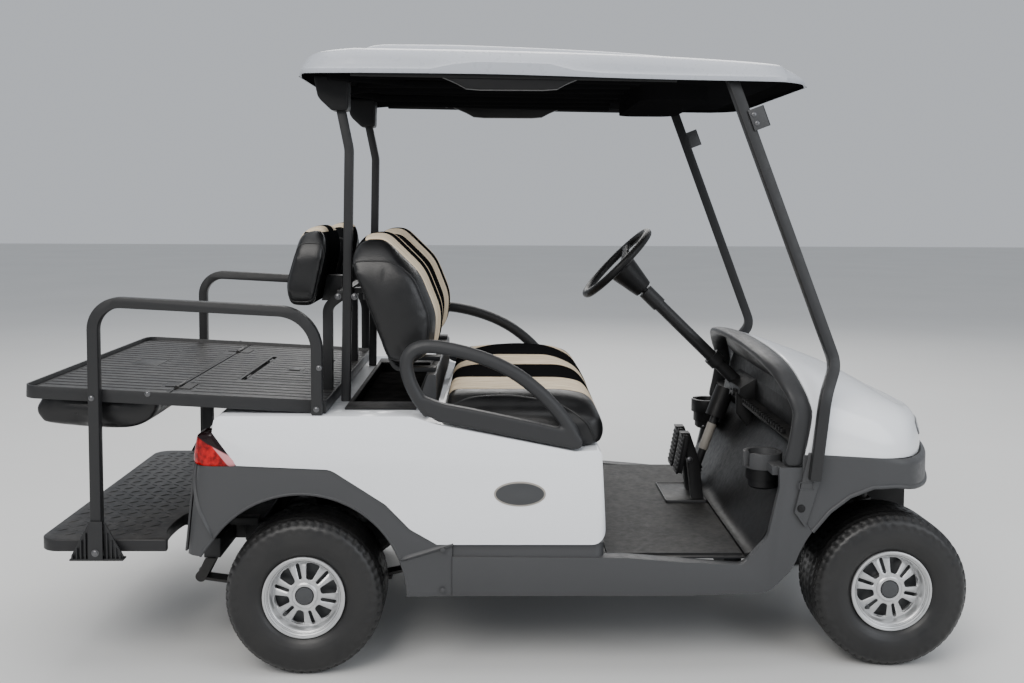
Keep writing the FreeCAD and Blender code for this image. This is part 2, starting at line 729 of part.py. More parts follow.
def make_rear_body():
    """White moulded shell over the battery bay and rear axle, open below, with the bag well."""
    half, wall = S.body_half_width, S.skin
    outer = slab("xz", rear_side(), -half, half)
    top = S.deck_height
    tail = slab("xz", [(rear(-200), top), (rear(-240), top - 6), (rear(-290), 664, 20), (rear(-300), TAIL_LOW),
                       (rear(-150), TAIL_LOW)], -TAIL_HALF, TAIL_HALF)
    plan = [(rear(-310), -half, 60), (rear(843), -half, 25), (rear(843), half, 25), (rear(-310), half, 60)]
    outer = outer.fuse(tail).common(slab("xy", plan, 300, 900))
    inner = slab("xz", rear_side(wall), wall - half, half - wall)
    tail = slab("xz", [(rear(-190), top - wall), (rear(-234), top - 6 - wall), (rear(-282), 664, 12),
                       (rear(-292), TAIL_LOW - 10), (rear(-140), TAIL_LOW - 10)], wall - TAIL_HALF, TAIL_HALF - wall)
    inner_plan = [(rear(-302), wall - half, 52), (rear(835), wall - half, 17), (rear(835), half - wall, 17),
                  (rear(-302), half - wall, 52)]
    shell = outer.cut(inner.fuse(tail).common(slab("xy", inner_plan, 290, 900)))
    riser = slab("xz", [(rear(305), S.deck_height - wall), (rear(338), RISER_TOP, 8), (rear(362), RISER_TOP, 8),
                        (rear(362), S.deck_height - wall)], -455, 455)
    shell = shell.fuse(riser)
    bay = Part.makeBox(430, 2 * 480, 200, V(rear(385), -480, 600))
    well = Part.makeBox(WELL_X[1] - WELL_X[0], 2 * WELL_HALF, 40, V(rear(WELL_X[0]), -WELL_HALF, top - 20))
    tub = Part.makeBox(LID_X[1] - LID_X[0], LID_Y[1] - LID_Y[0], 60, V(BED_X + LID_X[0], LID_Y[0], top - 30))
    shell = shell.cut(bay).cut(well).cut(tub)
    return part("rear_body", feature("rear_body_solid", shell))


def make_bag_well():
    """Black tray sunk in the deck between the roof struts and the seat."""
    x0, x1, half, wall = rear(WELL_X[0]), rear(WELL_X[1]), WELL_HALF, 5
    floor_z = S.deck_height - 34
    outer = Part.makeBox(x1 - x0 - 1, 2 * half - 1, 34, V(x0 + 0.5, 0.5 - half, floor_z))
    inner = Part.makeBox(x1 - x0 - 1 - 2 * wall, 2 * half - 1 - 2 * wall, 40,
                         V(x0 + 0.5 + wall, 0.5 - half + wall, floor_z + wall))
    return part("bag_well", feature("bag_well_solid", outer.cut(inner)))


def make_rear_fenders():
    """Grey arch panel with its return lip into the wheel well and its wrap round the tail."""
    outer, wall = S.fender_half_width, S.skin
    inner = outer - wall + S.panel_seam
    outline = [(rear(-306), 592), (rear(-180), 597, 20), (rear(78), 586, 60), (rear(229), 489, 60),
               (rear(297), 419, 60), (rear(372), 376, 20), (rear(414), 374), (rear(414), 230), (rear(300), 230),
               (rear(250), 300), (rear(-250), 300), (rear(-316), 341)]
    skin = slab("xz", outline, inner, outer)
    lip = slab("xz", outline, outer - S.lip_reach, outer)
    foot = V(rear(-5), outer - S.lip_reach - 12, TYRE_R)
    hollow = Part.makeCylinder(S.rear_arch_radius, S.lip_reach + 92, foot, Y_AXIS)
    ring = Part.makeCylinder(S.rear_arch_radius + wall, S.lip_reach + 92, foot, Y_AXIS)
    lip = lip.common(ring)
    half = skin.fuse(lip).cut(hollow)
    tail = slab("xz", [(rear(-306), 592), (rear(-299), 592), (rear(-307), 350), (rear(-315), 350)], -outer, outer)
    return part("rear_fenders", feature("rear_fenders_solid", half.fuse(mirrored(half)).fuse(tail)))


def make_tail_lights():
    outline = [(rear(-305), 598, 6), (rear(-286), 664, 8), (rear(-249), 686, 8), (rear(-186), 599, 6)]
    outside = S.body_half_width - 4
    half = slab("xz", outline, TAIL_HALF + S.seat_gap, outside)
    plan = [(rear(-306), TAIL_HALF - 5), (rear(-180), TAIL_HALF - 5), (rear(-180), outside),
            (rear(-306), outside, 60)]
    half = half.common(slab("xy", plan, 500, 800))
    return part("tail_lights", feature("tail_lights_solid", pair(half)))


make_floor()
make_toe_board()
make_battery()
make_sills()
make_rear_body()
make_bag_well()
make_rear_fenders()
make_tail_lights()


# Nose

# Stations of the nose: distance ahead of the front axle, then per station the half width at the
# bottom, at the belt, at the crease and at the crown's shoulder, and the heights of the last three
# and of the crown.
NOSE = (
    (-380, 560, 556, 505, 360, 730, 822, 880, 900),
    (-254, 560, 556, 505, 360, 730, 810, 860, 878),
    (-104, 554, 545, 480, 320, 695, 764, 808, 826),
    (-30, 548, 532, 465, 290, 680, 744, 780, 795),
    (40, 511, 500, 432, 262, 668, 727, 748, 758),
    (90, 449, 440, 375, 228, 658, 712, 722, 728),
    (130, 370, 362, 290, 180, 650, 702, 706, 709),
    (160, 278, 268, 150, 90, 640, 692, 696, 698),
    (177, 203, 190, 100, 60, 630, 664, 668, 670),
    (192, 98, 90, 60, 40, 604, 616, 620, 622),
)


def nose_form(inset, bottom=300):
    """The nose as one solid, drawn in by an inset; negative insets stand proud."""
    sections = []
    for x, foot, belt, crease, shoulder, belt_z, crease_z, shoulder_z, crown_z in NOSE:
        half = [(foot - inset, bottom), (foot - inset, 560), (belt - inset, belt_z),
                (crease - inset, crease_z - inset), (shoulder - inset, shoulder_z - inset), (0, crown_z - inset)]
        sections.append((front(x) - (inset if x > 100 else 0), half))
    return loft(sections)


# Rear edge of the hood, rising and leaning back towards the middle, and the rear edge of the brow
RIM_EDGE = [(-270, 300), (-270, 600), (-258, 651), (-242, 740), (-255, 793), (-272, 850), (-285, 900), (-290, 990)]
BROW_EDGE = [(-322, 300), (-322, 600), (-310, 651), (-296, 740), (-312, 793), (-337, 850), (-364, 896), (-368, 990)]


def ahead_of(edge, shift=0):
    """Everything ahead of an edge that rises across the nose, moved forward by a shift."""
    corners = [(front(x + shift), z) for x, z in edge]
    return slab("xz", corners + [(front(260), 990), (front(260), 300)], -700, 700)


def seam_above():
    """Everything above the seam between the hood and the grey fenders."""
    outline = [(front(-400), 622), (front(-217), 622), (front(108), 600), (front(260), 596),
               (front(260), 1000), (front(-400), 1000)]
    return slab("xz", outline, -700, 700)


def make_hood():
    outer, inner = nose_form(0), nose_form(S.skin, 290)
    shell = outer.cut(inner).common(ahead_of(RIM_EDGE)).common(seam_above())
    for side in (-1, 1):
        shell = shell.cut(lamp_space(side, 0))
    return part("front_cowl", feature("front_cowl_solid", shell))


def lamp_space(side, gap):
    """Block that a head lamp fills in the nose."""
    low, high = (S.lamp_inner, S.lamp_outer) if side > 0 else (-S.lamp_outer, -S.lamp_inner)
    return Part.makeBox(200, high - low - 2 * gap, 46 - 2 * gap, V(front(60), low + gap, 640 + gap))


def make_head_lamps():
    shell = nose_form(0).cut(nose_form(S.skin + 6, 290))
    lamps = [shell.common(lamp_space(side, 0.3)) for side in (-1, 1)]
    return part("head_lamps", feature("head_lamps_solid", Part.makeCompound(lamps)))


def make_front_fenders():
    """Grey lower nose from pillar to pillar, with both wheel arches cut and no floor."""
    outer, inner = nose_form(0), nose_form(S.skin, 290)
    shell = outer.cut(inner)
    outline = [(front(-270), 600), (front(-264.6), 621.5), (front(-217), 621.5), (front(108), 599.5),
               (front(200), 596), (front(190), 531, 20), (front(-66), 531, 30), (front(-135), 502, 40), (front(-191), 460, 40),
               (front(-239.5), 403), (front(-271.5), 449)]
    shell = shell.common(slab("xz", outline, -700, 700))
    return part("front_fenders", feature("front_fenders_solid", shell))


def make_underbody():
    """Black wheel-well roof and centre box between the front wheels."""
    wall, back, chin = 6, front(-210), front(158)
    solid = Part.makeBox(420, 1200, wall, V(front(-235), -600, 540)).common(nose_form(S.skin + S.seat_gap, 290))
    edge = S.rail_y + S.rail_width / 2
    for y in (-edge - wall, edge):
        solid = solid.fuse(Part.makeBox(chin - back, wall, 272, V(back, y, 272)))
    solid = solid.fuse(Part.makeBox(wall, 2 * (edge + wall), 242, V(chin - wall, -edge - wall, 302)))
    return part("front_underbody", feature("front_underbody_solid", solid))


def make_brow():
    """Dark rim that arches over the dash from pillar to pillar."""
    outer, inner = nose_form(-5), nose_form(26, 290)
    band = ahead_of(BROW_EDGE).cut(ahead_of(RIM_EDGE, -S.seat_gap))
    shell = outer.cut(inner).common(band)
    shell = shell.common(Part.makeBox(400, 1300, 500, V(front(-420), -650, PILLAR_TOP + S.seat_gap)))
    return part("dash_brow", feature("dash_brow_solid", shell))


def make_dash():
    """Black dash: shelf, back wall under the hood and a console round the column."""
    wall = 6
    inner = nose_form(26 + 0.5, 290)
    low = TOE_TOP + S.seat_gap
    back = slab("xz", [(front(-252), low), (front(-242), low), (front(-234), 770), (front(-272), 812),
                       (front(-330), 890), (front(-336), 886), (front(-280), 806), (front(-242), 768)], -600, 600)
    shelf = slab("xz", [(front(-296), 643), (front(-250), 652), (front(-250), 660), (front(-298), 651)],
                 -600, 600)
    console = slab("xz", [(front(-305), 655, 8), (front(-298), 694, 8), (front(-236), 732), (front(-246), low),
                          (front(-285), low, 10)], 120, 360)
    solid = back.fuse(shelf).fuse(console).common(inner)
    axis_hole = Part.makeCylinder(S.column_radius + S.seat_gap, 500, column_point(-10.3), column_way())
    return part("dash_panel", feature("dash_panel_solid", solid.cut(axis_hole)))


def column_way():
    way = V(-0.7173, 0, 0.6968)
    way.normalize()
    return way


def column_point(distance):
    """A point on the steering column's axis, up from its foot at the dash."""
    return V(front(-266), S.column_y, 685) + column_way() * distance


def make_column():
    solid = Part.makeCylinder(S.column_radius, 460, column_point(-10), column_way())
    solid = solid.fuse(Part.makeCylinder(30, 35, column_point(104), column_way()))
    solid = solid.fuse(Part.makeCylinder(27, 70, column_point(400), column_way()))
    solid = solid.fuse(Part.makeCylinder(12, 110, column_point(440), column_way()))
    return part("steering_column", feature("steering_column_solid", solid))


def make_steering_wheel():
    """Ring, three flat spokes and a hub bored for the shaft."""
    way = column_way()
    centre = column_point(612)
    ring = Part.makeTorus(S.wheel_rim_radius, S.wheel_grip_radius, centre, way)
    hub = Part.makeCone(34, 52, 100, column_point(478), way)
    hub = hub.fuse(Part.makeCylinder(52, 16, column_point(578), way))
    solid = ring.fuse(hub)
    side = Y_AXIS
    up = way.cross(side)
    for degrees in (90, 210, 330):
        a = math.radians(degrees)
        out = side * math.cos(a) + up * math.sin(a)
        across = way.cross(out)
        start = column_point(580) + out * 30 - across * 20
        face = Part.makePolygon([start, start + across * 40, start + across * 34 + out * 122 + way * 32,
                                 start + across * 6 + out * 122 + way * 32, start])
        solid = solid.fuse(Part.Face(face).extrude(way * 12))
    bore = Part.makeCylinder(12 + S.running_gap, 90, column_point(470), way)
    return part("steering_wheel", feature("steering_wheel_solid", solid.cut(bore)))


def make_pedals():
    """Floor bracket with the brake and drive pedals and their levers."""
    low = FLOOR + S.pan_thickness + S.mat_thickness
    solid = Part.makeBox(130, 230, 6, V(rear(1100), 0, low))
    for y in (25, 135):
        lever = slab("xz", [(rear(1190), low), (rear(1229), low), (rear(1212), 470), (rear(1180), 560),
                            (rear(1150), 560), (rear(1175), 460)], y, y + 40)
        face = slab("xz", [(rear(1140), 430), (rear(1152), 426), (rear(1176), 552), (rear(1164), 556)],
                    y - 18, y + 58)
        link = Part.makeBox(40, 40, 20, V(rear(1160), y, 480))
        solid = solid.fuse(lever).fuse(face).fuse(link)
    return part("pedals", feature("pedals_solid", solid))


def make_cup_holders():
    """Ring and cup on an arm from each end of the dash."""
    x, y = front(-352), 430
    r, wall = S.cup_radius, S.cup_wall
    solid = Part.makeCylinder(r + 14, 45, V(x, y, 559)).fuse(Part.makeCylinder(r + wall, 40, V(x, y, 525)))
    arm = Part.makeBox(40, S.floor_half_width - S.seat_gap - y, 24, V(x, y, 561))
    solid = solid.fuse(arm)
    solid = solid.cut(Part.makeCylinder(r, 90, V(x, y, 525 + wall)))
    solid = solid.cut(Part.makeBox(40, 26, 60, V(x - r - 30, y + 6, 562)))
    return part("cup_holders", feature("cup_holders_solid", pair(solid)))


COVER_FACE = 569


def make_strut_covers():
    outline = [(front(-256), 629), (front(-214), 629), (front(-224), 545), (front(-262), 417), (front(-293), 460),
               (front(-269), 570)]
    half = slab("xz", outline, 561.3, COVER_FACE)
    return part("strut_covers", feature("strut_covers_solid", pair(half)))


make_hood()
make_head_lamps()
make_front_fenders()
make_underbody()
make_brow()
make_dash()
make_column()
make_steering_wheel()
make_pedals()
make_cup_holders()
make_strut_covers()


# Seats

def make_armrests():
    """Tube that loops from the front of a solid base, over and down to its rear end."""
    y, r = S.arm_y, S.arm_tube
    gap = S.seat_gap
    base = slab("xz", [(rear(322), 772, 12), (rear(372), 712 + gap, 20), (rear(752), 637 + gap, 20),
                       (rear(772), 672, 14), (rear(738), 700, 20), (rear(385), 770, 20)], y - r, y + r)
    path = [(rear(748), y, 672), (rear(632), y, 826, 160), (rear(478), y, 907, 200), (rear(318), y, 934, 50),
            (rear(288), y, 862, 80), (rear(350), y, 745)]
    half = base.fuse(tube(path, r - 1))
    return part("armrests", feature("armrests_solid", pair(half)))


def make_seat_cushion():
    gap = S.seat_gap
    half = S.cushion_half_width
    outline = [(rear(396), 707.3 + gap), (rear(396), 795, 40), (rear(610), 850, 300), (rear(800), 796, 70),
               (rear(842), 690, 40), (rear(836), 645, 10), (rear(827), 643 + gap), (rear(752), 637 + gap)]
    solid = slab("xz", outline, -half, half)
    dome = [(-half, 600), (-half, 715, 30), (75 - half, 772, 60), (0, 845, 400), (half - 75, 772, 60),
            (half, 715, 30), (half, 600)]
    solid = solid.common(slab("yz", dome, rear(380), rear(860)))
    plan = [(rear(390), -half, 60), (rear(843), -half, 60), (rear(843), half, 60), (rear(390), half, 60)]
    solid = solid.common(slab("xy", plan, 600, 900))
    return part("seat_cushion", feature("seat_cushion_solid", solid))


def make_seat_board():
    """Board under the seat cushion that closes the battery bay."""
    outline = [(rear(396), 695), (rear(396), 707.3), (rear(752), 637), (rear(752), 625)]
    solid = slab("xz", outline, -470, 470)
    return part("seat_board", feature("seat_board_solid", solid))


def make_seat_backs():
    outline = [(rear(118), 1185, 30), (rear(150), 1232, 40), (rear(213), 1236, 40), (rear(322), 1130, 120),
               (rear(374), 1000, 120), (rear(362), 900, 60), (rear(300), 856, 30), (rear(242), 856, 20)]
    y, half = S.back_y, S.back_half_width
    solid = slab("xz", outline, y - half, y + half)
    front_view = [(y - half, 856, 50), (y + half, 856, 50), (y + half, 1240, 110), (y - half, 1240, 110)]
    solid = solid.common(slab("yz", front_view, rear(0), rear(500)))
    return part("seat_backs", feature("seat_backs_solid", pair(solid)))


def make_rear_backs():
    outline = [(rear(-78), 1022, 20), (rear(2), 1018, 20), (rear(38), 1200, 40), (rear(30), 1262, 20),
               (rear(-40), 1240, 40), (rear(-80), 1100, 60)]
    y, half = S.rear_back_y, S.rear_back_half_width
    solid = slab("xz", outline, y - half, y + half)
    front_view = [(y - half, 1018, 50), (y + half, 1018, 50), (y + half, 1264, 90), (y - half, 1264, 90)]
    solid = solid.common(slab("yz", front_view, rear(-200), rear(200)))
    return part("rear_backs", feature("rear_backs_solid", pair(solid)))


def make_back_frame():
    """Tubes that carry both sets of backs from the deck, the bed and the rear struts."""
    size = 28
    strut_inner = S.rear_strut_y - S.rear_strut_size / 2
    bar = Part.makeBox(size, 2 * strut_inner, size, V(rear(63), -strut_inner, 1034))
    brace = Part.makeBox(11, 2 * 404, 16, V(rear(147), -404, 1040))
    solid = bar.fuse(brace)
    foot = bed_plate_top(30) + 1.4
    for side in (-1, 1):
        y = side * 300
        bend = [(rear(30), y, foot), (rear(30), y, 1012, 40), (rear(77), y, 1048)]
        solid = solid.fuse(tube(bend, size, True))
        for y in (side * 150, side * 380):
            post = tube([(rear(358), y, RISER_TOP + 6.3), (rear(238), y, RISER_TOP + 6.3, 30),
                         (rear(136.6), y, 1116.5)], 12, True, 50)
            solid = solid.fuse(post)
        solid = solid.fuse(Part.makeBox(70, 40, 16, V(rear(84), side * 150 - 20, 1040)))
        prop = slab("xz", [(rear(3.5), 1024), (rear(66), 1024), (rear(66), 1100), (rear(18.5), 1100)],
                    side * 220 - 30, side * 220 + 30)
        solid = solid.fuse(prop)
    return part("seat_back_frame", feature("seat_back_frame_solid", solid))


make_armrests()
make_seat_cushion()
make_seat_board()
make_seat_backs()
make_rear_backs()
make_back_frame()


# Roof

STRUT_DEPTH = 26
STRUT_FOOT_Y = COVER_FACE + 1 + STRUT_DEPTH / 2
# Underside of the roof liner: station and height at the rear and at the front
LINER = ((30, 1688), (1345, 1668))


def under_liner():
    """Everything below the liner."""
    (x0, z0), (x1, z1) = LINER
    fall = (z1 - z0) / (x1 - x0)
    return slab("xz", [(rear(-100), z0 - fall * (x0 + 100) - S.seat_gap), (rear(-100), 0), (rear(1600), 0),
                       (rear(1600), z1 + fall * (1600 - x1) - S.seat_gap)], -800, 800)


def make_front_struts():
    path = [(front(-243), STRUT_FOOT_Y, 555), (front(-218), STRUT_FOOT_Y, 790, 90), (front(-174), 522, 872, 60),
            (front(-482), 510, 1680)]
    half = tube(path, S.strut_size, True, STRUT_DEPTH).common(under_liner())
    return part("front_struts", feature("front_struts_solid", pair(half)))


def rear_strut_path(y):
    """Up from the deck with a slight lean forward, then bent back under the roof."""
    return [(rear(90), y, S.deck_height + S.seat_gap), (rear(103), y, 1476, 90), (rear(56), y, 1707)]


def make_rear_struts():
    y = S.rear_strut_y
    half = tube(rear_strut_path(y), S.rear_strut_size, True).common(under_liner())
    return part("rear_struts", feature("rear_struts_solid", pair(half)))


def make_strut_shrouds():
    y, half_width = S.rear_strut_y, 34
    outline = [(rear(4), 1700), (rear(106), 1700), (rear(104), 1586, 8), (rear(56), 1586, 12), (rear(16), 1624, 40),
               (rear(6), 1680)]
    half = slab("xz", outline, y - half_width, y + half_width).common(under_liner())
    core = tube(rear_strut_path(y), S.rear_strut_size + 2 * S.seat_gap, True)
    return part("strut_shrouds", feature("strut_shrouds_solid", pair(half.cut(core))))


# Roof stations: distance ahead of the rear axle, half width, and heights of the rim's lower edge,
# of the shoulder and of the crown
ROOF = (
    (-34, 380, 1680, 1688, 1692),
    (-14, 488, 1679, 1712, 1716),
    (24, 530, 1677, 1738, 1744),
    (120, 547, 1676, 1750, 1756),
    (200, 550, 1676, 1750, 1786),
    (541, 550, 1674, 1746, 1782),
    (952, 550, 1664, 1735, 1763),
    (1283, 542, 1660, 1717, 1728),
    (1350, 524, 1659, 1702, 1709),
    (1396, 482, 1658, 1684, 1689),
    (1424, 400, 1657, 1668, 1671),
)


def roof_form(inset, drop):
    sections = []
    ends = (ROOF[0][0], ROOF[-1][0])
    for x, half, rim, shoulder, crown in ROOF:
        ring = [(half - inset, rim - drop), (half - inset, rim + 14 - inset),
                (half - 60 - inset / 2, shoulder - inset), (half - 210 - inset / 2, crown - 6 - inset),
                (0, crown - inset)]
        shift = inset if x == ends[0] else -inset if x == ends[1] else 0
        sections.append((rear(x) + shift, ring))
    return loft(sections)


def make_roof():
    shell = roof_form(0, 0).cut(roof_form(S.roof_skin, 10))
    return part("roof", feature("roof_solid", shell))


def make_roof_liner():
    """Dark liner inside the roof, with its header pod and the strut brackets."""
    (x0, z0), (x1, z1) = LINER
    solid = slab("xz", [(rear(x0), z0), (rear(x1), z1), (rear(x1), z1 + 8), (rear(x0), z0 + 8)], -600, 600)
    solid = solid.common(roof_form(S.roof_skin + S.seat_gap, 40))
    hood = slab("xy", [(rear(960), -330, 60), (rear(1160), -330, 60), (rear(1160), 330, 60), (rear(960), 330, 60)],
                1628, 1676)
    for y in (-450, 0, 450):
        rib = slab("xz", [(rear(150), z0 - 16), (rear(940), z1 - 10), (rear(940), z1 + 9), (rear(150), z0 + 4)],
                   y - 20, y + 20)
        solid = solid.fuse(rib)
    return part("roof_liner", feature("roof_liner_solid", solid.fuse(hood)))


make_front_struts()
make_rear_struts()
make_strut_shrouds()
make_roof()
make_roof_liner()


# Rear bed

def make_bed_frame():
    """Angle rim with an inner ledge, and the tubes under the fixed front plate."""
    long, half, rim, wall = S.bed_length, S.bed_half_width, S.bed_rim, 5
    outer = bed_plan(0, -rim, 0)
    inner = bed_plan(wall, -rim - 1, 1)
    ledge = bed_plan(0, -rim, PLATE_LOW - S.seat_gap)
    ledge = ledge.cut(bed_block(30 - long, -30, 30 - half, half - 30, -rim - 1, 1))
    solid = outer.cut(inner).fuse(ledge)
    for y in (-500, -360, 330, 460):
        solid = solid.fuse(bed_block(SEAM, -10, y, y + 30, -rim, PLATE_LOW - S.seat_gap))
    solid = solid.fuse(bed_block(SEAM + 20, SEAM + 50, -half, half, -rim, PLATE_LOW - S.seat_gap))
    return part("bed_frame", feature("bed_frame_solid", lean(solid)))


def make_bed_plate():
    """Fixed ribbed plate with the opening for the storage lid."""
    gap, half = 6, S.bed_half_width - 6
    solid = bed_block(SEAM + 2.5, -gap, -half, half, PLATE_LOW, PLATE_TOP)
    hole = bed_block(LID_X[0] - 2 * LID_HINGE, LID_X[1] + 5, LID_Y[0] - 5, LID_Y[1] + 5, -60, 1)
    solid = solid.cut(hole)
    for y in HINGE_Y:
        solid = solid.cut(Part.makeCylinder(7.5, 100, V(SEAM, y - 50, PLATE_TOP + HINGE_UP), Y_AXIS))
    for y in LID_HINGE_Y:
        solid = solid.fuse(lid_barrels(y))
    return part("bed_plate", feature("bed_plate_solid", lean(solid)))


def lid_barrels(y):
    """Outer barrels and pin of one storage lid hinge, flush in the plate behind the lid."""
    x, z = LID_X[0] - LID_HINGE, PLATE_TOP - 5
    solid = Part.makeCylinder(2, 56, V(x, y - 28, z), Y_AXIS)
    for low in (y - 28, y + 10.3):
        solid = solid.fuse(Part.makeCylinder(5, 17.7, V(x, low, z), Y_AXIS))
        solid = solid.fuse(bed_block(x - LID_HINGE - 1, x, low, low + 17.7, z - 5, z))
    return solid


def make_flip_hinges():
    """Leaves, outer barrels and pins on the fixed plate."""
    solids = []
    for y in HINGE_Y:
        leaf = bed_block(SEAM + 8, SEAM + 40, y - 45, y + 45, PLATE_TOP, PLATE_TOP + 2)
        solid = leaf
        for low in (y - 45, y + 20.3):
            barrel = Part.makeCylinder(6, 24.7, V(SEAM, low, PLATE_TOP + HINGE_UP), Y_AXIS)
            web = bed_block(SEAM, SEAM + 9, low, low + 24.7, PLATE_TOP, PLATE_TOP + 2)
            solid = solid.fuse(barrel).fuse(web)
        solid = solid.fuse(Part.makeCylinder(3, 80, V(SEAM, y - 40, PLATE_TOP + HINGE_UP), Y_AXIS))
        clear = bed_block(SEAM - 3, SEAM + 10, y - 60, y + 60, PLATE_LOW - 9, PLATE_TOP)
        solids.append(solid.cut(clear))
    return part("flip_hinges", feature("flip_hinges_solid", Part.makeCompound([lean(s) for s in solids])))


def make_flip_plate():
    """Rear plate that turns over to become the rear-facing seat."""
    solid = bed_plan(S.moving_gap + 6, PLATE_LOW, PLATE_TOP)
    half = S.bed_half_width
    solid = solid.common(bed_block(-S.bed_length, SEAM - 2.5, -half, half, PLATE_LOW, PLATE_TOP))
    for y in HINGE_Y:
        solid = solid.cut(Part.makeCylinder(7.5, 100, V(SEAM, y - 50, PLATE_TOP + HINGE_UP), Y_AXIS))
        solid = solid.fuse(bed_block(SEAM - 40, SEAM - 7, y - 19, y + 19, PLATE_TOP - 1, PLATE_TOP + 2))
        barrel = Part.makeCylinder(6, 38, V(SEAM, y - 19, PLATE_TOP + HINGE_UP), Y_AXIS)
        web = bed_block(SEAM - 8, SEAM - 1, y - 19, y + 19, PLATE_TOP, PLATE_TOP + 2)
        solid = solid.fuse(barrel).fuse(web)
        bore = Part.makeCylinder(3 + S.running_gap, 120, V(SEAM, y - 60, PLATE_TOP + HINGE_UP), Y_AXIS)
        solid = solid.cut(bore)
    return part("flip_plate", feature("flip_plate_solid", lean(solid)))


def make_flip_cushion():
    """Padding under the flip plate, the seat once it is turned over."""
    half, low = S.bed_half_width - 34, PLATE_LOW - 90
    outline = [(SEAM - 20, PLATE_LOW - S.seat_gap), (SEAM - 34, low, 30), (48 - S.bed_length, low, 45),
               (34 - S.bed_length, PLATE_LOW - S.seat_gap)]
    solid = slab("xz", outline, -half, half)
    return part("flip_cushion", feature("flip_cushion_solid", lean(solid)))


def make_storage():
    """Tub under the hatch, and the hatch with its hinge along the rear edge."""
    (x0, x1), (y0, y1) = LID_X, LID_Y
    low, edge, wall = PLATE_LOW - 110, 8, 4
    outer = bed_block(x0 + edge, x1 - edge, y0 + edge, y1 - edge, low, PLATE_LOW)
    flange = bed_block(x0 - 2 * LID_HINGE - 8, x1 + 12, y0 - 12, y1 + 12, PLATE_LOW - wall, PLATE_LOW)
    inner = bed_block(x0 + edge + wall, x1 - edge - wall, y0 + edge + wall, y1 - edge - wall, low + wall, 10)
    part("storage_tub", feature("storage_tub_solid", lean(outer.fuse(flange).cut(inner))))
    lid = bed_block(x0, x1, y0, y1, PLATE_LOW + S.seat_gap, PLATE_TOP)
    x, z = x0 - LID_HINGE, PLATE_TOP - 5
    for y in LID_HINGE_Y:
        barrel = Part.makeCylinder(5, 20, V(x, y - 10, z), Y_AXIS)
        lid = lid.fuse(barrel).fuse(bed_block(x, x0 + 1, y - 10, y + 10, z - 5, z))
        lid = lid.cut(Part.makeCylinder(2 + S.running_gap, 60, V(x, y - 30, z), Y_AXIS))
    part("storage_lid", feature("storage_lid_solid", lean(lid)))


def make_grab_rails():
    """Square tube up from the footplate, back to front over the bed and down to it."""
    y = S.bed_half_width + S.rail_tube / 2 + S.seat_gap
    post_x = rear(-571)
    slope = math.tan(math.radians(S.bed_slope))
    top_rear = BED_Z + S.grab_height + (BED_X - post_x) * slope - 18
    top_front = top_rear - (rear(40) - post_x) * slope
    path = [(post_x, y, 285), (post_x, y, top_rear, 75), (rear(40), y, top_front, 110),
            (rear(40), y, S.deck_height + 1)]
    half = tube(path, S.rail_tube, True)
    return part("grab_rails", feature("grab_rails_solid", pair(half)))


def make_footplate():
    back, side = "rear_axle_x - 745", "step_half_width"
    corners = ((back, "60 - " + side), ("rear_axle_x - 712", "-" + side), ("rear_axle_x - 385", "-" + side),
               ("rear_axle_x - 385", side), ("rear_axle_x - 712", side), (back, side + " - 60"))
    plate = pad("footplate_body", "XY_Plane", corners, "step_thickness")
    place(plate, "0", "0", "step_top - step_thickness")
    part("footplate", plate)
    low, deep = "rail_bottom + rail_depth", "step_top - step_thickness - rail_bottom - rail_depth"
    pieces = [box("step_cross", ("rear_axle_x - 600", "-step_half_width - 1", low),
                  ("45", "2 * step_half_width + 2", deep))]
    upright = bed_plate_top(-355) - S.bed_rim + S.plate_drop - FLOOR - 1.2
    for i, y in enumerate(("rail_y + rail_width / 2", "-(rail_y + rail_width / 2) - 40")):
        pieces.append(box("step_arm_%d" % i, ("rear_axle_x - 700", y, low), ("500", "40", deep)))
        pieces.append(box("step_upright_%d" % i, ("rear_axle_x - 370", y, low), ("30", "30", "%.3f" % upright)))
    part("step_supports", fuse("step_supports_joined", pieces))


make_bed_frame()
make_bed_plate()
make_flip_hinges()
make_flip_plate()
make_flip_cushion()
make_storage()
make_grab_rails()
make_footplate()

doc.recompute()


def check(thing):
    """Stop on a failed feature or an unsound shape."""
    for item in doc.Objects:
        if "Invalid" in item.State or "Error" in item.State:
            raise ValueError("failed: " + item.Label)
    shape = thing.Shape
    if shape.isNull() or not shape.isValid() or not shape.Solids:
        raise ValueError("unsound shape: " + thing.Label)


for name, thing in PARTS.items():
    check(thing)
os.makedirs("parts", exist_ok=True)
for name, thing in PARTS.items():
    thing.Shape.exportStep("parts/%s.step" % name)
    print(name, len(thing.Shape.Solids), round(thing.Shape.Volume / 1e3))
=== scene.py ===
"""Golf cart with a rear flip seat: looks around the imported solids. Metres, X forward, Z up."""

import json
import math
from contextlib import contextmanager

import bmesh
import bpy
from mathutils import Matrix, Vector
from mathutils.bvhtree import BVHTree


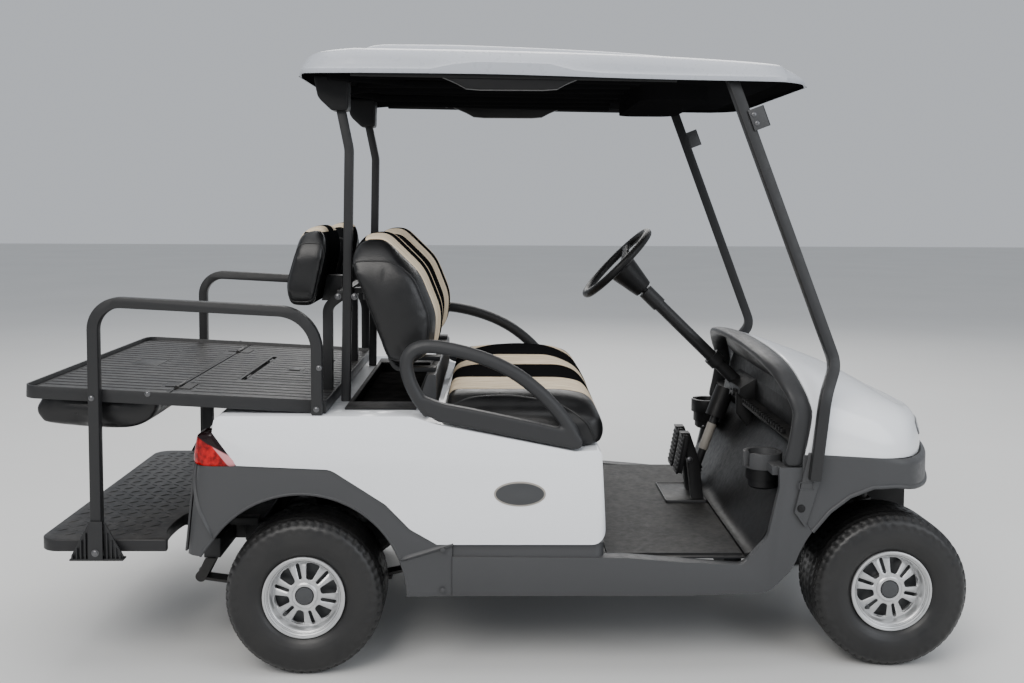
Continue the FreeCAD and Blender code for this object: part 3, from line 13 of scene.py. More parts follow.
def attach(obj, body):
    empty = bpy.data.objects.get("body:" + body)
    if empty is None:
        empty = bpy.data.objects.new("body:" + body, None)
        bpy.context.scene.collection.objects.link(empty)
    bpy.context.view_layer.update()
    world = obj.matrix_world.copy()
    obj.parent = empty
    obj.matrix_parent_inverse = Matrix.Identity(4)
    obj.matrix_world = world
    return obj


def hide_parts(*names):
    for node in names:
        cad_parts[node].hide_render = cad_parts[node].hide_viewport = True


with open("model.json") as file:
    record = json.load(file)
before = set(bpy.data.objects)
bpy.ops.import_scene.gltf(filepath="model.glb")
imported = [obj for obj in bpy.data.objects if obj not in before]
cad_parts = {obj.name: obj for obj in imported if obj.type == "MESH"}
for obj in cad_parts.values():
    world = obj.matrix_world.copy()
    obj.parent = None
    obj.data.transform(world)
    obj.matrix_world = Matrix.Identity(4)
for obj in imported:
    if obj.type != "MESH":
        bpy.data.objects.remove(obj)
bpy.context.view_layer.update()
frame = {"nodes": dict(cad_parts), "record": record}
NODES = frame["nodes"]
BODY_OF = {node: body for body, nodes in frame["record"]["behaviour"]["bodies"].items() for node in nodes}
SLOT_OF = {entry["node"]: entry["material_slot"] for entry in frame["record"]["subparts"]}

Z_AXIS = Vector((0, 0, 1))
SIDES = (("left", 1), ("right", -1))


def ra(x):
    """Millimetres ahead of the rear axle to metres along X."""
    return (x - 553) / 1000


def fa(x):
    """Millimetres ahead of the front axle to metres along X."""
    return (x + 1111) / 1000


# Materials

class Nodes:
    """A material's node tree with short calls for the nodes used here."""

    def __init__(self, name):
        self.material = bpy.data.materials.new(name)
        self.material.use_nodes = True
        self.tree = self.material.node_tree
        self.shader = self.tree.nodes["Principled BSDF"]
        self.place = self.add("ShaderNodeTexCoord").outputs["Object"]

    def feed(self, socket, value):
        """Link an output to a socket, or set the socket's value."""
        if isinstance(value, bpy.types.NodeSocket):
            self.tree.links.new(value, socket)
        else:
            socket.default_value = value

    def add(self, kind, values=None, **options):
        node = self.tree.nodes.new(kind)
        for key, value in options.items():
            setattr(node, key, value)
        for socket, value in (values or {}).items():
            self.feed(node.inputs[socket], value)
        return node

    def set(self, **values):
        """Set the shader's sockets; a name's underscores stand for spaces."""
        for key, value in values.items():
            self.feed(self.shader.inputs[key.replace("_", " ")], value)

    def math(self, operation, *numbers):
        return self.add("ShaderNodeMath", dict(enumerate(numbers)), operation=operation).outputs[0]

    def axes(self, vector=None):
        node = self.add("ShaderNodeSeparateXYZ", {0: vector or self.place})
        return node.outputs[0], node.outputs[1], node.outputs[2]

    def stretched(self, scale):
        return self.add("ShaderNodeMapping", {"Vector": self.place, "Scale": scale}).outputs[0]

    def noise(self, scale, detail=2.0, rough=0.5, vector=None):
        values = {"Vector": vector or self.place, "Scale": scale, "Detail": detail, "Roughness": rough}
        return self.add("ShaderNodeTexNoise", values).outputs["Fac"]

    def voronoi(self, scale):
        return self.add("ShaderNodeTexVoronoi", {"Vector": self.place, "Scale": scale}).outputs["Distance"]

    def ramp(self, fac, low, high, a=0.0, b=1.0):
        values = {"Value": fac, "From Min": low, "From Max": high, "To Min": a, "To Max": b}
        return self.add("ShaderNodeMapRange", values).outputs[0]

    def mix(self, fac, a, b):
        return self.add("ShaderNodeMix", {0: fac, 6: a, 7: b}, data_type="RGBA").outputs[2]

    def bump(self, height, strength=0.3, distance=0.001, normal=None):
        values = {"Height": height, "Strength": strength, "Distance": distance}
        if normal is not None:
            values["Normal"] = normal
        return self.add("ShaderNodeBump", values).outputs[0]


def rgb(r, g, b):
    """A colour with full alpha."""
    return (r, g, b, 1.0)


def shade(colour, factor):
    """A colour made darker or lighter."""
    return rgb(*(min(1.0, c * factor) for c in colour))


def surface(name, colour, rough, metal=0.0, mottle=(3.0, 0.08), spread=0.06, grain=None, dust=0.0, **extra):
    """A painted or moulded surface: mottled colour, uneven gloss, a fine grain and dust on upward faces."""
    n = Nodes(name)
    cloud = n.noise(mottle[0], 5.0, 0.6)
    tone = n.mix(cloud, shade(colour, 1 - mottle[1]), shade(colour, 1 + mottle[1]))
    if dust:
        up = n.axes(n.add("ShaderNodeNewGeometry").outputs["Normal"])[2]
        film = n.math("MULTIPLY", n.ramp(up, 0.2, 1.0, 0, dust), n.ramp(n.noise(14.0, 6.0, 0.7), 0.35, 0.75))
        tone = n.mix(film, tone, rgb(0.32, 0.30, 0.27))
    speck = n.noise(55.0, 3.0)
    n.set(Base_Color=tone, Roughness=n.ramp(speck, 0.3, 0.7, rough - spread, rough + spread), Metallic=metal)
    if grain:
        kind, scale, strength, depth = grain
        height = n.voronoi(scale) if kind == "cell" else n.noise(scale, 4.0, 0.65)
        n.set(Normal=n.bump(height, strength, depth))
    n.set(**extra)
    return n.material


def tail_lens():
    """Red ribbed lens with a dark upper part and a clear lower front part."""
    n = Nodes("tail_lens")
    x, y, z = n.axes()
    bars = n.math("SINE", n.math("MULTIPLY", n.math("ADD", x, n.math("MULTIPLY", z, 0.55)), 700.0))
    red = n.mix(n.ramp(n.noise(70.0, 3.0), 0.35, 0.65), rgb(0.50, 0.004, 0.006), rgb(0.15, 0.001, 0.002))
    line = n.math("ADD", z, n.math("MULTIPLY", n.math("SUBTRACT", x, ra(-265)), 0.55))
    dark = n.ramp(line, 0.659, 0.663)
    front_edge = n.math("ADD", x, n.math("MULTIPLY", n.math("SUBTRACT", z, 0.631), 0.8))
    clear = n.ramp(front_edge, ra(-231), ra(-228))
    tone = n.mix(clear, red, rgb(0.62, 0.26, 0.28))
    tone = n.mix(dark, tone, rgb(0.010, 0.004, 0.005))
    n.set(Base_Color=tone, Roughness=0.2, Normal=n.bump(bars, 0.15, 0.0006), Specular_IOR_Level=0.2,
          Coat_Weight=0.15)
    return n.material


def vinyl(stripes=None, facing=()):
    """Black grained vinyl, or the seats' striped cloth.

    stripes: middle of a seat, middle of a stripe from there and a stripe's half width. They show
    where x * a + z * b > c for one (a, b, c) of facing, or everywhere without it."""
    n = Nodes("seat_vinyl" + ("_striped" if stripes else ""))
    tone = n.mix(n.noise(7.0, 5.0), rgb(0.0055, 0.0055, 0.006), rgb(0.010, 0.010, 0.0105))
    grain = n.bump(n.voronoi(420.0), 0.28, 0.0006)
    crease = n.bump(n.noise(34.0, 6.0, 0.62), 0.12, 0.004, grain)
    rough = n.ramp(n.noise(16.0, 3.0), 0.3, 0.7, 0.26, 0.42)
    if stripes:
        middle, band, half = stripes
        x, y, z = n.axes()
        across = n.math("ABSOLUTE", n.math("SUBTRACT", n.math("ABSOLUTE", y), middle))
        mask, shown = n.math("COMPARE", across, band, half), None
        for a, b, c in facing:
            past = n.math("GREATER_THAN", n.math("MULTIPLY_ADD", x, a, n.math("MULTIPLY", z, b)), c)
            shown = past if shown is None else n.math("MAXIMUM", shown, past)
        if facing:
            mask = n.math("MULTIPLY", mask, shown)
        lines = n.noise(1.0, 3.0, 0.6, n.stretched((9.0, 260.0, 9.0)))
        beige = n.mix(n.ramp(lines, 0.32, 0.68), rgb(0.56, 0.43, 0.29), rgb(0.90, 0.79, 0.61))
        tone = n.mix(mask, tone, beige)
    n.set(Base_Color=tone, Roughness=rough, Normal=crease, Specular_IOR_Level=0.0 if stripes else 0.42)
    return n.material


def tyre_rubber():
    """Dull black rubber, clouded."""
    n = Nodes("tyre")
    cloud = n.noise(14.0, 6.0, 0.7)
    tone = n.mix(n.ramp(cloud, 0.3, 0.75), rgb(0.0075, 0.0075, 0.008), rgb(0.015, 0.0145, 0.014))
    n.set(Base_Color=tone, Roughness=n.ramp(cloud, 0.3, 0.7, 0.36, 0.52),
          Normal=n.bump(n.noise(260.0, 4.0), 0.3, 0.0006))
    return n.material


# Seats, in metres: middle of each, middle of a stripe from there and its half width; and the seams'
# distances from the middle
FRONT_STRIPES, FRONT_SEAMS = (0.268, 0.102, 0.047), (0.150, 0.055)
REAR_STRIPES, REAR_SEAMS = (0.235, 0.092, 0.042), (0.134, 0.050)
# How far the stripes go over the tops: height and slope on the seat backs, height on the rear backs
BACK_TOP, BACK_SLOPE, REAR_TOP = 1.236, 0.31, 1.235

# Arguments of surface, by name of the material
LOOKS = {
    "body_white": dict(colour=(0.86, 0.88, 0.91), rough=0.2, mottle=(1.2, 0.02), spread=0.04, dust=0.05,
                       Coat_Weight=0.6, Coat_Roughness=0.06),
    "roof_grey": dict(colour=(0.40, 0.42, 0.46), rough=0.3, mottle=(1.2, 0.03), spread=0.05, dust=0.05,
                      Coat_Weight=0.3, Coat_Roughness=0.1),
    "trim_grey": dict(colour=(0.050, 0.051, 0.0535), rough=0.44, mottle=(2.0, 0.07), dust=0.08,
                      grain=("cell", 900.0, 0.25, 0.0006), Specular_IOR_Level=0.35),
    "brow_dark": dict(colour=(0.028, 0.0285, 0.030), rough=0.42, mottle=(2.0, 0.07), dust=0.04,
                      grain=("cell", 900.0, 0.25, 0.0006), Specular_IOR_Level=0.3),
    "black_plastic": dict(colour=(0.0085, 0.0085, 0.009), rough=0.42, mottle=(4.0, 0.2), dust=0.05,
                          grain=("cell", 1100.0, 0.2, 0.0005), Specular_IOR_Level=0.25),
    # Black with no reflection, darker than black_plastic: the plastic's own black plus painted shade under the roof and
    # in the bag well
    "black_with_painted_shade": dict(colour=(0.007, 0.007, 0.0075), rough=0.7, mottle=(4.0, 0.3), dust=0.05,
                       grain=("cell", 1100.0, 0.2, 0.0005), Specular_IOR_Level=0.0),
    "mat_rubber": dict(colour=(0.014, 0.014, 0.0145), rough=0.62, mottle=(6.0, 0.25), dust=0.10,
                       grain=("cloud", 420.0, 0.4, 0.0008), Specular_IOR_Level=0.25),
    "step_plate": dict(colour=(0.016, 0.016, 0.017), rough=0.44, mottle=(5.0, 0.2), dust=0.14,
                       grain=("cloud", 700.0, 0.25, 0.0005), Specular_IOR_Level=0.35),
    "painted_tube": dict(colour=(0.019, 0.0193, 0.0203), rough=0.42, mottle=(4.0, 0.06), dust=0.03,
                         grain=("cloud", 1500.0, 0.12, 0.0003), Specular_IOR_Level=0.35),
    "steel_dark": dict(colour=(0.035, 0.034, 0.033), rough=0.52, metal=0.6, mottle=(9.0, 0.3),
                       grain=("cloud", 300.0, 0.25, 0.0006)),
    "bolt_steel": dict(colour=(0.15, 0.15, 0.155), rough=0.34, metal=1.0, mottle=(30.0, 0.2)),
    "wheel_silver": dict(colour=(0.56, 0.565, 0.57), rough=0.36, metal=0.75, mottle=(9.0, 0.06),
                         grain=("cloud", 1300.0, 0.08, 0.0003)),
    "lamp_clear": dict(colour=(0.30, 0.31, 0.33), rough=0.14, mottle=(20.0, 0.2), Coat_Weight=1.0),
    "cap_dark": dict(colour=(0.045, 0.047, 0.05), rough=0.34, mottle=(12.0, 0.1)),
    "pale_edge": dict(colour=(0.30, 0.28, 0.25), rough=0.5, mottle=(12.0, 0.1)),
}

M = {name: surface(name, **look) for name, look in LOOKS.items()}
M.update(lamp_red=tail_lens(), seat_vinyl=vinyl(), tyre=tyre_rubber(), bench_striped=vinyl(FRONT_STRIPES),
         back_striped=vinyl(FRONT_STRIPES, ((1, BACK_SLOPE, ra(150) + BACK_SLOPE * BACK_TOP),)),
         rear_striped=vinyl(REAR_STRIPES, ((-1, 0, -ra(-30)), (0, 1, REAR_TOP))),
         flip_striped=vinyl(REAR_STRIPES))


# Mesh helpers

def linked(name, data):
    """A new object in the scene."""
    thing = bpy.data.objects.new(name, data)
    bpy.context.scene.collection.objects.link(thing)
    return thing


@contextmanager
def edited(mesh):
    """A mesh opened for editing and written back."""
    bm = bmesh.new()
    bm.from_mesh(mesh)
    yield bm
    bm.to_mesh(mesh)
    bm.free()


def full_turn(steps):
    """Angles once round, in equal steps."""
    return [2 * math.pi * k / steps for k in range(steps)]


def flipped(point, side=-1):
    """A point of the left side on the side asked for."""
    return Vector((point.x, point.y * side, point.z))


def to_piece(name, mesh, body, material, slot=None, smooth=None):
    """Link a mesh as a piece that rides on a body; smooth is an angle in degrees."""
    piece = linked(name, mesh)
    mesh.materials.clear()
    mesh.materials.append(M[material])
    if smooth is not None:
        smooth_by_angle(mesh, smooth)
    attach(piece, body)
    slot or material
    return piece


def smooth_by_angle(mesh, degrees):
    """Smooth shading that stays sharp along edges steeper than an angle."""
    limit = math.radians(degrees)
    with edited(mesh) as bm:
        for face in bm.faces:
            face.smooth = True
        for edge in bm.edges:
            edge.smooth = not (len(edge.link_faces) == 2 and edge.calc_face_angle(0) > limit)


def mesh_of(name, points, faces):
    """A mesh with its faces turned outward."""
    mesh = bpy.data.meshes.new(name)
    mesh.from_pydata([tuple(p) for p in points], [], faces)
    mesh.validate()
    with edited(mesh) as bm:
        bmesh.ops.recalc_face_normals(bm, faces=bm.faces)
    return mesh


def ring_mesh(name, rings, closed=True, caps=True):
    """Faces between rings of equal length; closed joins each ring's ends, caps fills the end rings."""
    count = len(rings[0])
    points = [p for ring in rings for p in ring]
    faces = []
    for i in range(len(rings) - 1):
        for j in range(count if closed else count - 1):
            a, b = i * count + j, i * count + (j + 1) % count
            faces.append((a, b, b + count, a + count))
    if caps:
        last = (len(rings) - 1) * count
        faces.append(tuple(range(count)))
        faces.append(tuple(range(last, last + count)))
    return mesh_of(name, points, faces)


def finished(piece):
    """Apply a piece's modifiers to its mesh."""
    graph = bpy.context.evaluated_depsgraph_get()
    graph.update()
    mesh = bpy.data.meshes.new_from_object(piece.evaluated_get(graph))
    piece.modifiers.clear()
    piece.data = mesh
    return piece


def modified(piece, *steps):
    """Add modifiers given as (type, settings) and apply them."""
    for kind, settings in steps:
        modifier = piece.modifiers.new(kind, kind)
        for key, value in settings.items():
            setattr(modifier, key, value)
    return finished(piece)


def bevel(width, angle, segments=2, **extra):
    """Settings of a modifier that rounds edges steeper than an angle in degrees."""
    return ("BEVEL", {"width": width, "segments": segments, "limit_method": "ANGLE",
                      "angle_limit": math.radians(angle), **extra})


def softened(node, width):
    """A copy of a solid with its edges rounded, standing for it."""
    mesh = NODES[node].data.copy()
    with edited(mesh) as bm:
        bmesh.ops.remove_doubles(bm, verts=bm.verts, dist=1e-5)
        bmesh.ops.dissolve_limit(bm, angle_limit=math.radians(2), verts=bm.verts, edges=bm.edges)
    mesh.name = node + "_soft"
    piece = to_piece(node + "_shape", mesh, BODY_OF[node], SLOT_OF[node])
    modified(piece, bevel(width, 35, use_clamp_overlap=True))
    smooth_by_angle(piece.data, 40)
    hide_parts(node)
    return piece


def lathe(name, profile, centre, axis, body, material, steps=64, slot=None, smooth=35):
    """A solid of revolution; profile is (radius, distance along the axis) from end to end."""
    axis = Vector(axis).normalized()
    u = axis.orthogonal().normalized()
    v = axis.cross(u)
    rings = []
    for r, d in profile:
        middle = Vector(centre) + axis * d
        rings.append([middle + (u * math.cos(a) + v * math.sin(a)) * max(r, 1e-5) for a in full_turn(steps)])
    return to_piece(name, ring_mesh(name, rings), body, material, slot, smooth)


def tube_mesh(name, points, radius, steps=12, closed=False):
    """A round tube along points."""
    points = [Vector(p) for p in points]
    count = len(points)
    rings, side = [], None
    for i, point in enumerate(points):
        if closed:
            way = points[(i + 1) % count] - points[i - 1]
        else:
            way = points[min(i + 1, count - 1)] - points[max(i - 1, 0)]
        way.normalize()
        side = way.orthogonal() if side is None else side - way * side.dot(way)
        side.normalize()
        up = way.cross(side)
        rings.append([point + (side * math.cos(a) + up * math.sin(a)) * radius for a in full_turn(steps)])
    if closed:
        rings.append(rings[0])
    return ring_mesh(name, rings, caps=not closed)


def bolt(name, place, axis, radius, height, body, material="bolt_steel"):
    """Domed bolt head on a washer."""
    shape = ((1.35, 0), (1.35, 0.25), (1, 0.3), (1, 0.7), (0.75, 0.92), (0.3, 1))
    return lathe(name, [(radius * r, height * h) for r, h in shape], place, axis, body, material, 24, "painted_tube")


def catmull(rows, t):
    """Point at parameter t on a smooth curve through rows of numbers."""
    i = min(int(t), len(rows) - 2)
    t -= i
    a, b, c, d = (rows[max(i - 1, 0)], rows[i], rows[i + 1], rows[min(i + 2, len(rows) - 1)])
    return [0.5 * ((2 * q) + (r - p) * t + (2 * p - 5 * q + 4 * r - s) * t * t
                   + (3 * q - p - 3 * r + s) * t ** 3) for p, q, r, s in zip(a, b, c, d)]


def smooth_rows(rows, steps):
    """Rows with others between them on a smooth curve."""
    return [catmull(rows, i / steps) for i in range((len(rows) - 1) * steps + 1)]


def straight(points, x):
    """Height at x of a line through points that are sorted by x."""
    for (x0, z0), (x1, z1) in zip(points, points[1:]):
        if x <= x1:
            break
    return z0 + (z1 - z0) * (x - x0) / (x1 - x0)


def solved(low, high, value, wanted, steps=18):
    """Parameter between low and high where a rising function reaches a wanted value."""
    for _ in range(steps):
        middle = (low + high) / 2
        if value(middle) < wanted:
            low = middle
        else:
            high = middle
    return (low + high) / 2


def step_up(x, a, b):
    """0 before a, 1 after b, smooth between them."""
    t = min(max((x - a) / (b - a), 0), 1)
    return t * t * (3 - 2 * t)


def panel(name, grid, thickness, body, material, edge=0.0012, inside=(0, 0, 0.7), slot=None, lining=None):
    """A moulded panel: a grid of points thickened away from its outer side, with rounded edges.

    The lining is the inner side's material, where it has its own."""
    mesh = ring_mesh(name, grid, closed=False, caps=False)
    middle = Vector(inside)
    with edited(mesh) as bm:
        bmesh.ops.remove_doubles(bm, verts=bm.verts, dist=1e-5)
        bm.normal_update()
        if sum((f.calc_center_median() - middle).dot(f.normal) * f.calc_area() for f in bm.faces) < 0:
            bmesh.ops.reverse_faces(bm, faces=bm.faces)
    piece = to_piece(name, mesh, body, material, slot)
    if lining:
        piece.data.materials.append(M[lining])
    shell = {"thickness": thickness, "offset": -1.0, "material_offset": 1 if lining else 0}
    modified(piece, ("SOLIDIFY", shell), bevel(edge, 60))
    smooth_by_angle(piece.data, 38)
    return piece


def prisms(name, shapes, body, material, edge=0.001, slot=None, segments=2):
    """Outlines in millimetres raised between two heights, each in its place, with rounded edges."""
    points, faces = [], []
    for outline, low, high, place in shapes:
        base, count = len(points), len(outline)
        for z in (low, high):
            points += [place @ Vector((x / 1000, y / 1000, z / 1000)) for x, y in outline]
        faces += [(base + i, base + (i + 1) % count, base + count + (i + 1) % count, base + count + i)
                  for i in range(count)]
        faces += [tuple(range(base, base + count)), tuple(range(base + count, base + 2 * count))]
    piece = to_piece(name, mesh_of(name, points, faces), body, material, slot)
    modified(piece, bevel(edge, 35, segments, use_clamp_overlap=True))
    smooth_by_angle(piece.data, 38)
    return piece


def rectangle(x0, x1, y0, y1):
    """Corners of a rectangle in order."""
    return [(x0, y0), (x1, y0), (x1, y1), (x0, y1)]


def arc(cx, cy, r, start, steps):
    """A quarter turn from an angle in degrees."""
    angles = [math.radians(start + 90 * k / steps) for k in range(steps + 1)]
    return [(cx + r * math.cos(a), cy + r * math.sin(a)) for a in angles]


def rounded(x0, x1, y0, y1, r, steps=5):
    """Rectangle with round corners."""
    out = []
    for cx, cy, start in ((x1 - r, y1 - r, 0), (x0 + r, y1 - r, 90), (x0 + r, y0 + r, 180), (x1 - r, y0 + r, 270)):
        out += arc(cx, cy, r, start, steps)
    return out


def span(side, near, far):
    """Low and high end of a stretch across the cart, on one of its sides."""
    return sorted((side * near, side * far))


def rear_mm(points):
    """Points ahead of the rear axle, in millimetres of the cart's frame."""
    return [(ra(x) * 1000, z) for x, z in points]


# Where outlines lie: level, upright along the cart, and on the rear bed, which leans a little
FLAT = Matrix.Identity(4)
UPRIGHT = Matrix(((1, 0, 0, 0), (0, 0, 1, 0), (0, 1, 0, 0), (0, 0, 0, 1)))
BED = Matrix.Translation((-0.490, 0, 0.7713)) @ Matrix.Rotation(math.radians(2.9), 4, "Y")


# Nose

# distance ahead of the front axle, half widths at foot, belt, crease and shoulder, heights of the
# last three and of the crown
NOSE = (
    (-380, 560, 556, 505, 360, 730, 822, 880, 900),
    (-254, 560, 556, 505, 360, 730, 810, 860, 878),
    (-104, 554, 545, 480, 320, 695, 764, 808, 826),
    (-30, 548, 532, 465, 290, 680, 744, 780, 795),
    (40, 511, 500, 432, 262, 668, 727, 748, 758),
    (90, 449, 440, 375, 228, 658, 712, 722, 728),
    (130, 370, 362, 290, 180, 650, 702, 706, 709),
    (160, 278, 268, 150, 90, 640, 692, 696, 698),
    (177, 203, 190, 100, 60, 630, 664, 668, 670),
    (192, 98, 90, 60, 40, 604, 616, 620, 622),
)
TIP, CROWN = len(NOSE) - 1, 5
RIM_EDGE = ((300, -270), (600, -270), (651, -258), (740, -242), (793, -255), (850, -272), (900, -285), (990, -290))
BROW_EDGE = ((300, -322), (600, -322), (651, -310), (740, -296), (793, -312), (850, -337), (896, -364), (990, -368))
SEAM_LINE = ((-400, 622), (-217, 622), (108, 600), (260, 596))
ARCH_LINE = ((-271.5, 449), (-239.5, 403), (-191, 460), (-135, 502), (-66, 528), (0, 529), (60, 520), (110, 512),
             (200, 508))
BROW_FOOT = 586.4
# where the fenders are cut across, from the pillar to the tip
FENDER_CUTS = (-270.5, -264, -256, -248, -239.5, -228, -215, -203, -191, -178, -163, -149, -135, -118, -100, -83, -66,
               -44, -22, 0, 20, 40, 58, 76, 92, 108, 122, 136, 148, 160, 170, 178, 185)


def nose_point(u, v):
    """Point of the nose in millimetres: u runs to the tip, v from the foot over the crown."""
    x, foot, belt, crease, shoulder, belt_z, crease_z, shoulder_z, crown_z = catmull(NOSE, min(u, TIP))
    half = [(foot, 300), (foot, 560), (belt, belt_z), (crease, crease_z), (shoulder, shoulder_z), (0, crown_z)]
    y, z = catmull(half + [(-a, b) for a, b in half[-2::-1]], v)
    if u > TIP:
        turn = (u - TIP) * math.pi / 2
        x, y = x + 7 * math.sin(turn), y * math.cos(turn)
        if z > 597:
            z = 597 + (z - 597) * (0.65 + 0.35 * math.cos(turn))
    return x, y, z


def v_at(u, z):
    """Where the nose reaches a height."""
    return solved(0, CROWN, lambda v: nose_point(u, v)[2], z)


def u_at(v, edge, shift=0):
    """Where a line along the nose meets an edge given as distance by height."""
    def past(u):
        x, y, z = nose_point(u, v)
        return x - straight(edge, z) - shift
    return solved(0, TIP, past, 0)


def metres(x, y, z):
    """Millimetres ahead of the front axle to a place in the cart's frame."""
    return Vector((fa(x), y / 1000, z / 1000))


def mirrored_rows(rows):
    """Rows of points on one side, carried over the middle to the other side."""
    return [row + [flipped(p) for p in row[-2::-1]] for row in rows]


def make_nose():
    """White hood down to the seam line, and the grey fenders below it."""
    along, across = 52, 22
    rows = []
    for i in range(along + 1):
        row = []
        for j in range(across + 1):
            u, v, s = 5.0, 3.0, i / along
            for _ in range(5):
                low = v_at(u, straight(SEAM_LINE, nose_point(u, 0)[0]))
                v = low + (CROWN - low) * j / across
                start = u_at(v, RIM_EDGE)
                u = start + (TIP + 1 - start) * s
            row.append(metres(*nose_point(u, v)))
        rows.append(row)
    hood = panel("hood", mirrored_rows(rows), 0.006, "chassis", "body_white", 0.0014, (0.8, 0, 0.5))
    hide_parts("front_cowl")

    stations = [solved(0, TIP, lambda u: nose_point(u, 0)[0], x) for x in FENDER_CUTS]
    stations += [TIP + k / 6 for k in range(7)]
    columns = []
    for u in stations:
        x, foot_y = nose_point(u, 0)[0], nose_point(u, v_at(u, straight(ARCH_LINE, nose_point(u, 0)[0])))[1]
        low, high = straight(ARCH_LINE, x), straight(SEAM_LINE, x) - 0.6
        away = max(math.hypot(x + 60, foot_y), 1)
        out_x, out_y = (x + 60) / away * step_up(x, -60, 40), foot_y / away
        column = []
        for k in range(13):
            px, py, pz = nose_point(u, v_at(u, low + (high - low) * k / 12))
            flare = 24 * step_up(x, -40, 70) * (1 - 0.7 * step_up(k, 10.4, 12))
            column.append(metres(min(px + out_x * flare, 220.0), py + out_y * flare, pz))
        columns.append(column)
    columns += [[flipped(p) for p in column] for column in columns[-2::-1]]
    fenders = panel("fenders", columns, 0.006, "chassis", "trim_grey", 0.0014, (0.8, 0, 0.5))
    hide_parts("front_fenders")
    for name, side in SIDES:
        edge = [Vector((c[0].x, side * (abs(c[0].y) - 0.002), c[0].z)) for c in columns[4:33]]
        to_piece("fender_lip_" + name, tube_mesh("lip", edge, 0.0065, 12), "chassis", "trim_grey", None, 60)


def make_brow():
    """Thick rounded roll from pillar to pillar."""
    count, thick, squareness = 34, 15, 0.72
    low = v_at(1.0, BROW_FOOT)
    half = []
    for i in range(count + 1):
        v = low + (CROWN - low) * i / count
        half.append([Vector(nose_point(u_at(v, edge, shift), v))
                     for edge, shift in ((RIM_EDGE, -0.3), (BROW_EDGE, 0))])
    rings = []
    for i, (front_end, back_end) in enumerate(half):
        along = front_end - back_end
        reach = along.length / 2
        along.normalize()
        before, after = half[max(i - 1, 0)], half[min(i + 1, count)]
        way = ((after[0] + after[1]) - (before[0] + before[1])).normalized()
        out = way.cross(along).normalized()
        middle = (front_end + back_end) / 2
        if out.dot(Vector((0, middle.y, middle.z - 500))) < 0:
            out = -out
        if i == count:
            out.y = along.y = 0
        middle = middle - out * 10
        ring = []
        for a in full_turn(20):
            c, s = (math.copysign(abs(f) ** squareness, f) for f in (math.cos(a), math.sin(a)))
            p = middle + along * reach * c + out * thick * s
            if i == 0:
                p.z = BROW_FOOT
            ring.append(metres(*p))
        rings.append(ring)
    rings += [[flipped(p) for p in ring] for ring in rings[-2::-1]]
    piece = to_piece("brow", ring_mesh("brow", rings), "chassis", "brow_dark", "trim_grey")
    modified(piece, ("SUBSURF", {"levels": 1, "render_levels": 1}))
    smooth_by_angle(piece.data, 50)
    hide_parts("dash_brow")


# Roof

# distance ahead of the rear axle, half width, and heights of the rim, shoulder and crown
ROOF = (
    (-34, 380, 1680, 1688, 1692),
    (-14, 488, 1679, 1712, 1716),
    (24, 530, 1677, 1738, 1744),
    (120, 547, 1676, 1750, 1756),
    (200, 550, 1676, 1750, 1786),
    (541, 550, 1674, 1746, 1782),
    (952, 550, 1664, 1735, 1763),
    (1283, 542, 1660, 1717, 1728),
    (1350, 524, 1659, 1702, 1709),
    (1396, 482, 1658, 1684, 1689),
    (1424, 400, 1657, 1668, 1671),
)
ROOF_TOP = 1786


def make_roof():
    """Moulded roof: grey on top, black below, the black being painted shade."""
    rows = []
    for x, half, rim, shoulder, crown in smooth_rows(ROOF, 6):
        crown = min(crown, ROOF_TOP)
        scale = min(1, (shoulder - rim) / 46)
        band = (15 + 20 * (step_up(x, 372, 440) - step_up(x, 700, 768))) * scale
        low = [(half, rim), (half, rim + band * 0.5), (half, rim + band - 3 * scale),
               (half - 2.5 * scale, rim + band - 0.5 * scale), (half - 6 * scale, rim + band + 0.5 * scale),
               (half - 8 * scale, rim + band + 3 * scale)]
        rise = crown - shoulder
        high = [(half - 8 * scale, rim + band + 3 * scale), (half - 30 * scale, shoulder - 15 * scale),
                (half - 62, shoulder), (half - 120, shoulder + 0.12 * rise), (half - 188, shoulder + 0.22 * rise),
                (half - 214, crown - 4), (half - 300, crown - 1.5), (0, crown)]
        ring = low[:-1] + smooth_rows(high, 4)
        rows.append([Vector((ra(x), y / 1000, min(z, ROOF_TOP) / 1000)) for y, z in ring])
    first, last = ([Vector((p.x + shift, p.y * 0.995, row[0].z)) for p in row]
                   for row, shift in ((rows[0], -0.0015), (rows[-1], 0.0015)))
    rows = [first] + rows + [last]
    # the inner side is lined in black with no reflection: painted shade under the roof
    roof = panel("roof_top", mirrored_rows(rows), 0.005, "chassis", "roof_grey", 0.001, (0, 0, 1.2), "body_white",
                 "black_with_painted_shade")
    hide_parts("roof")


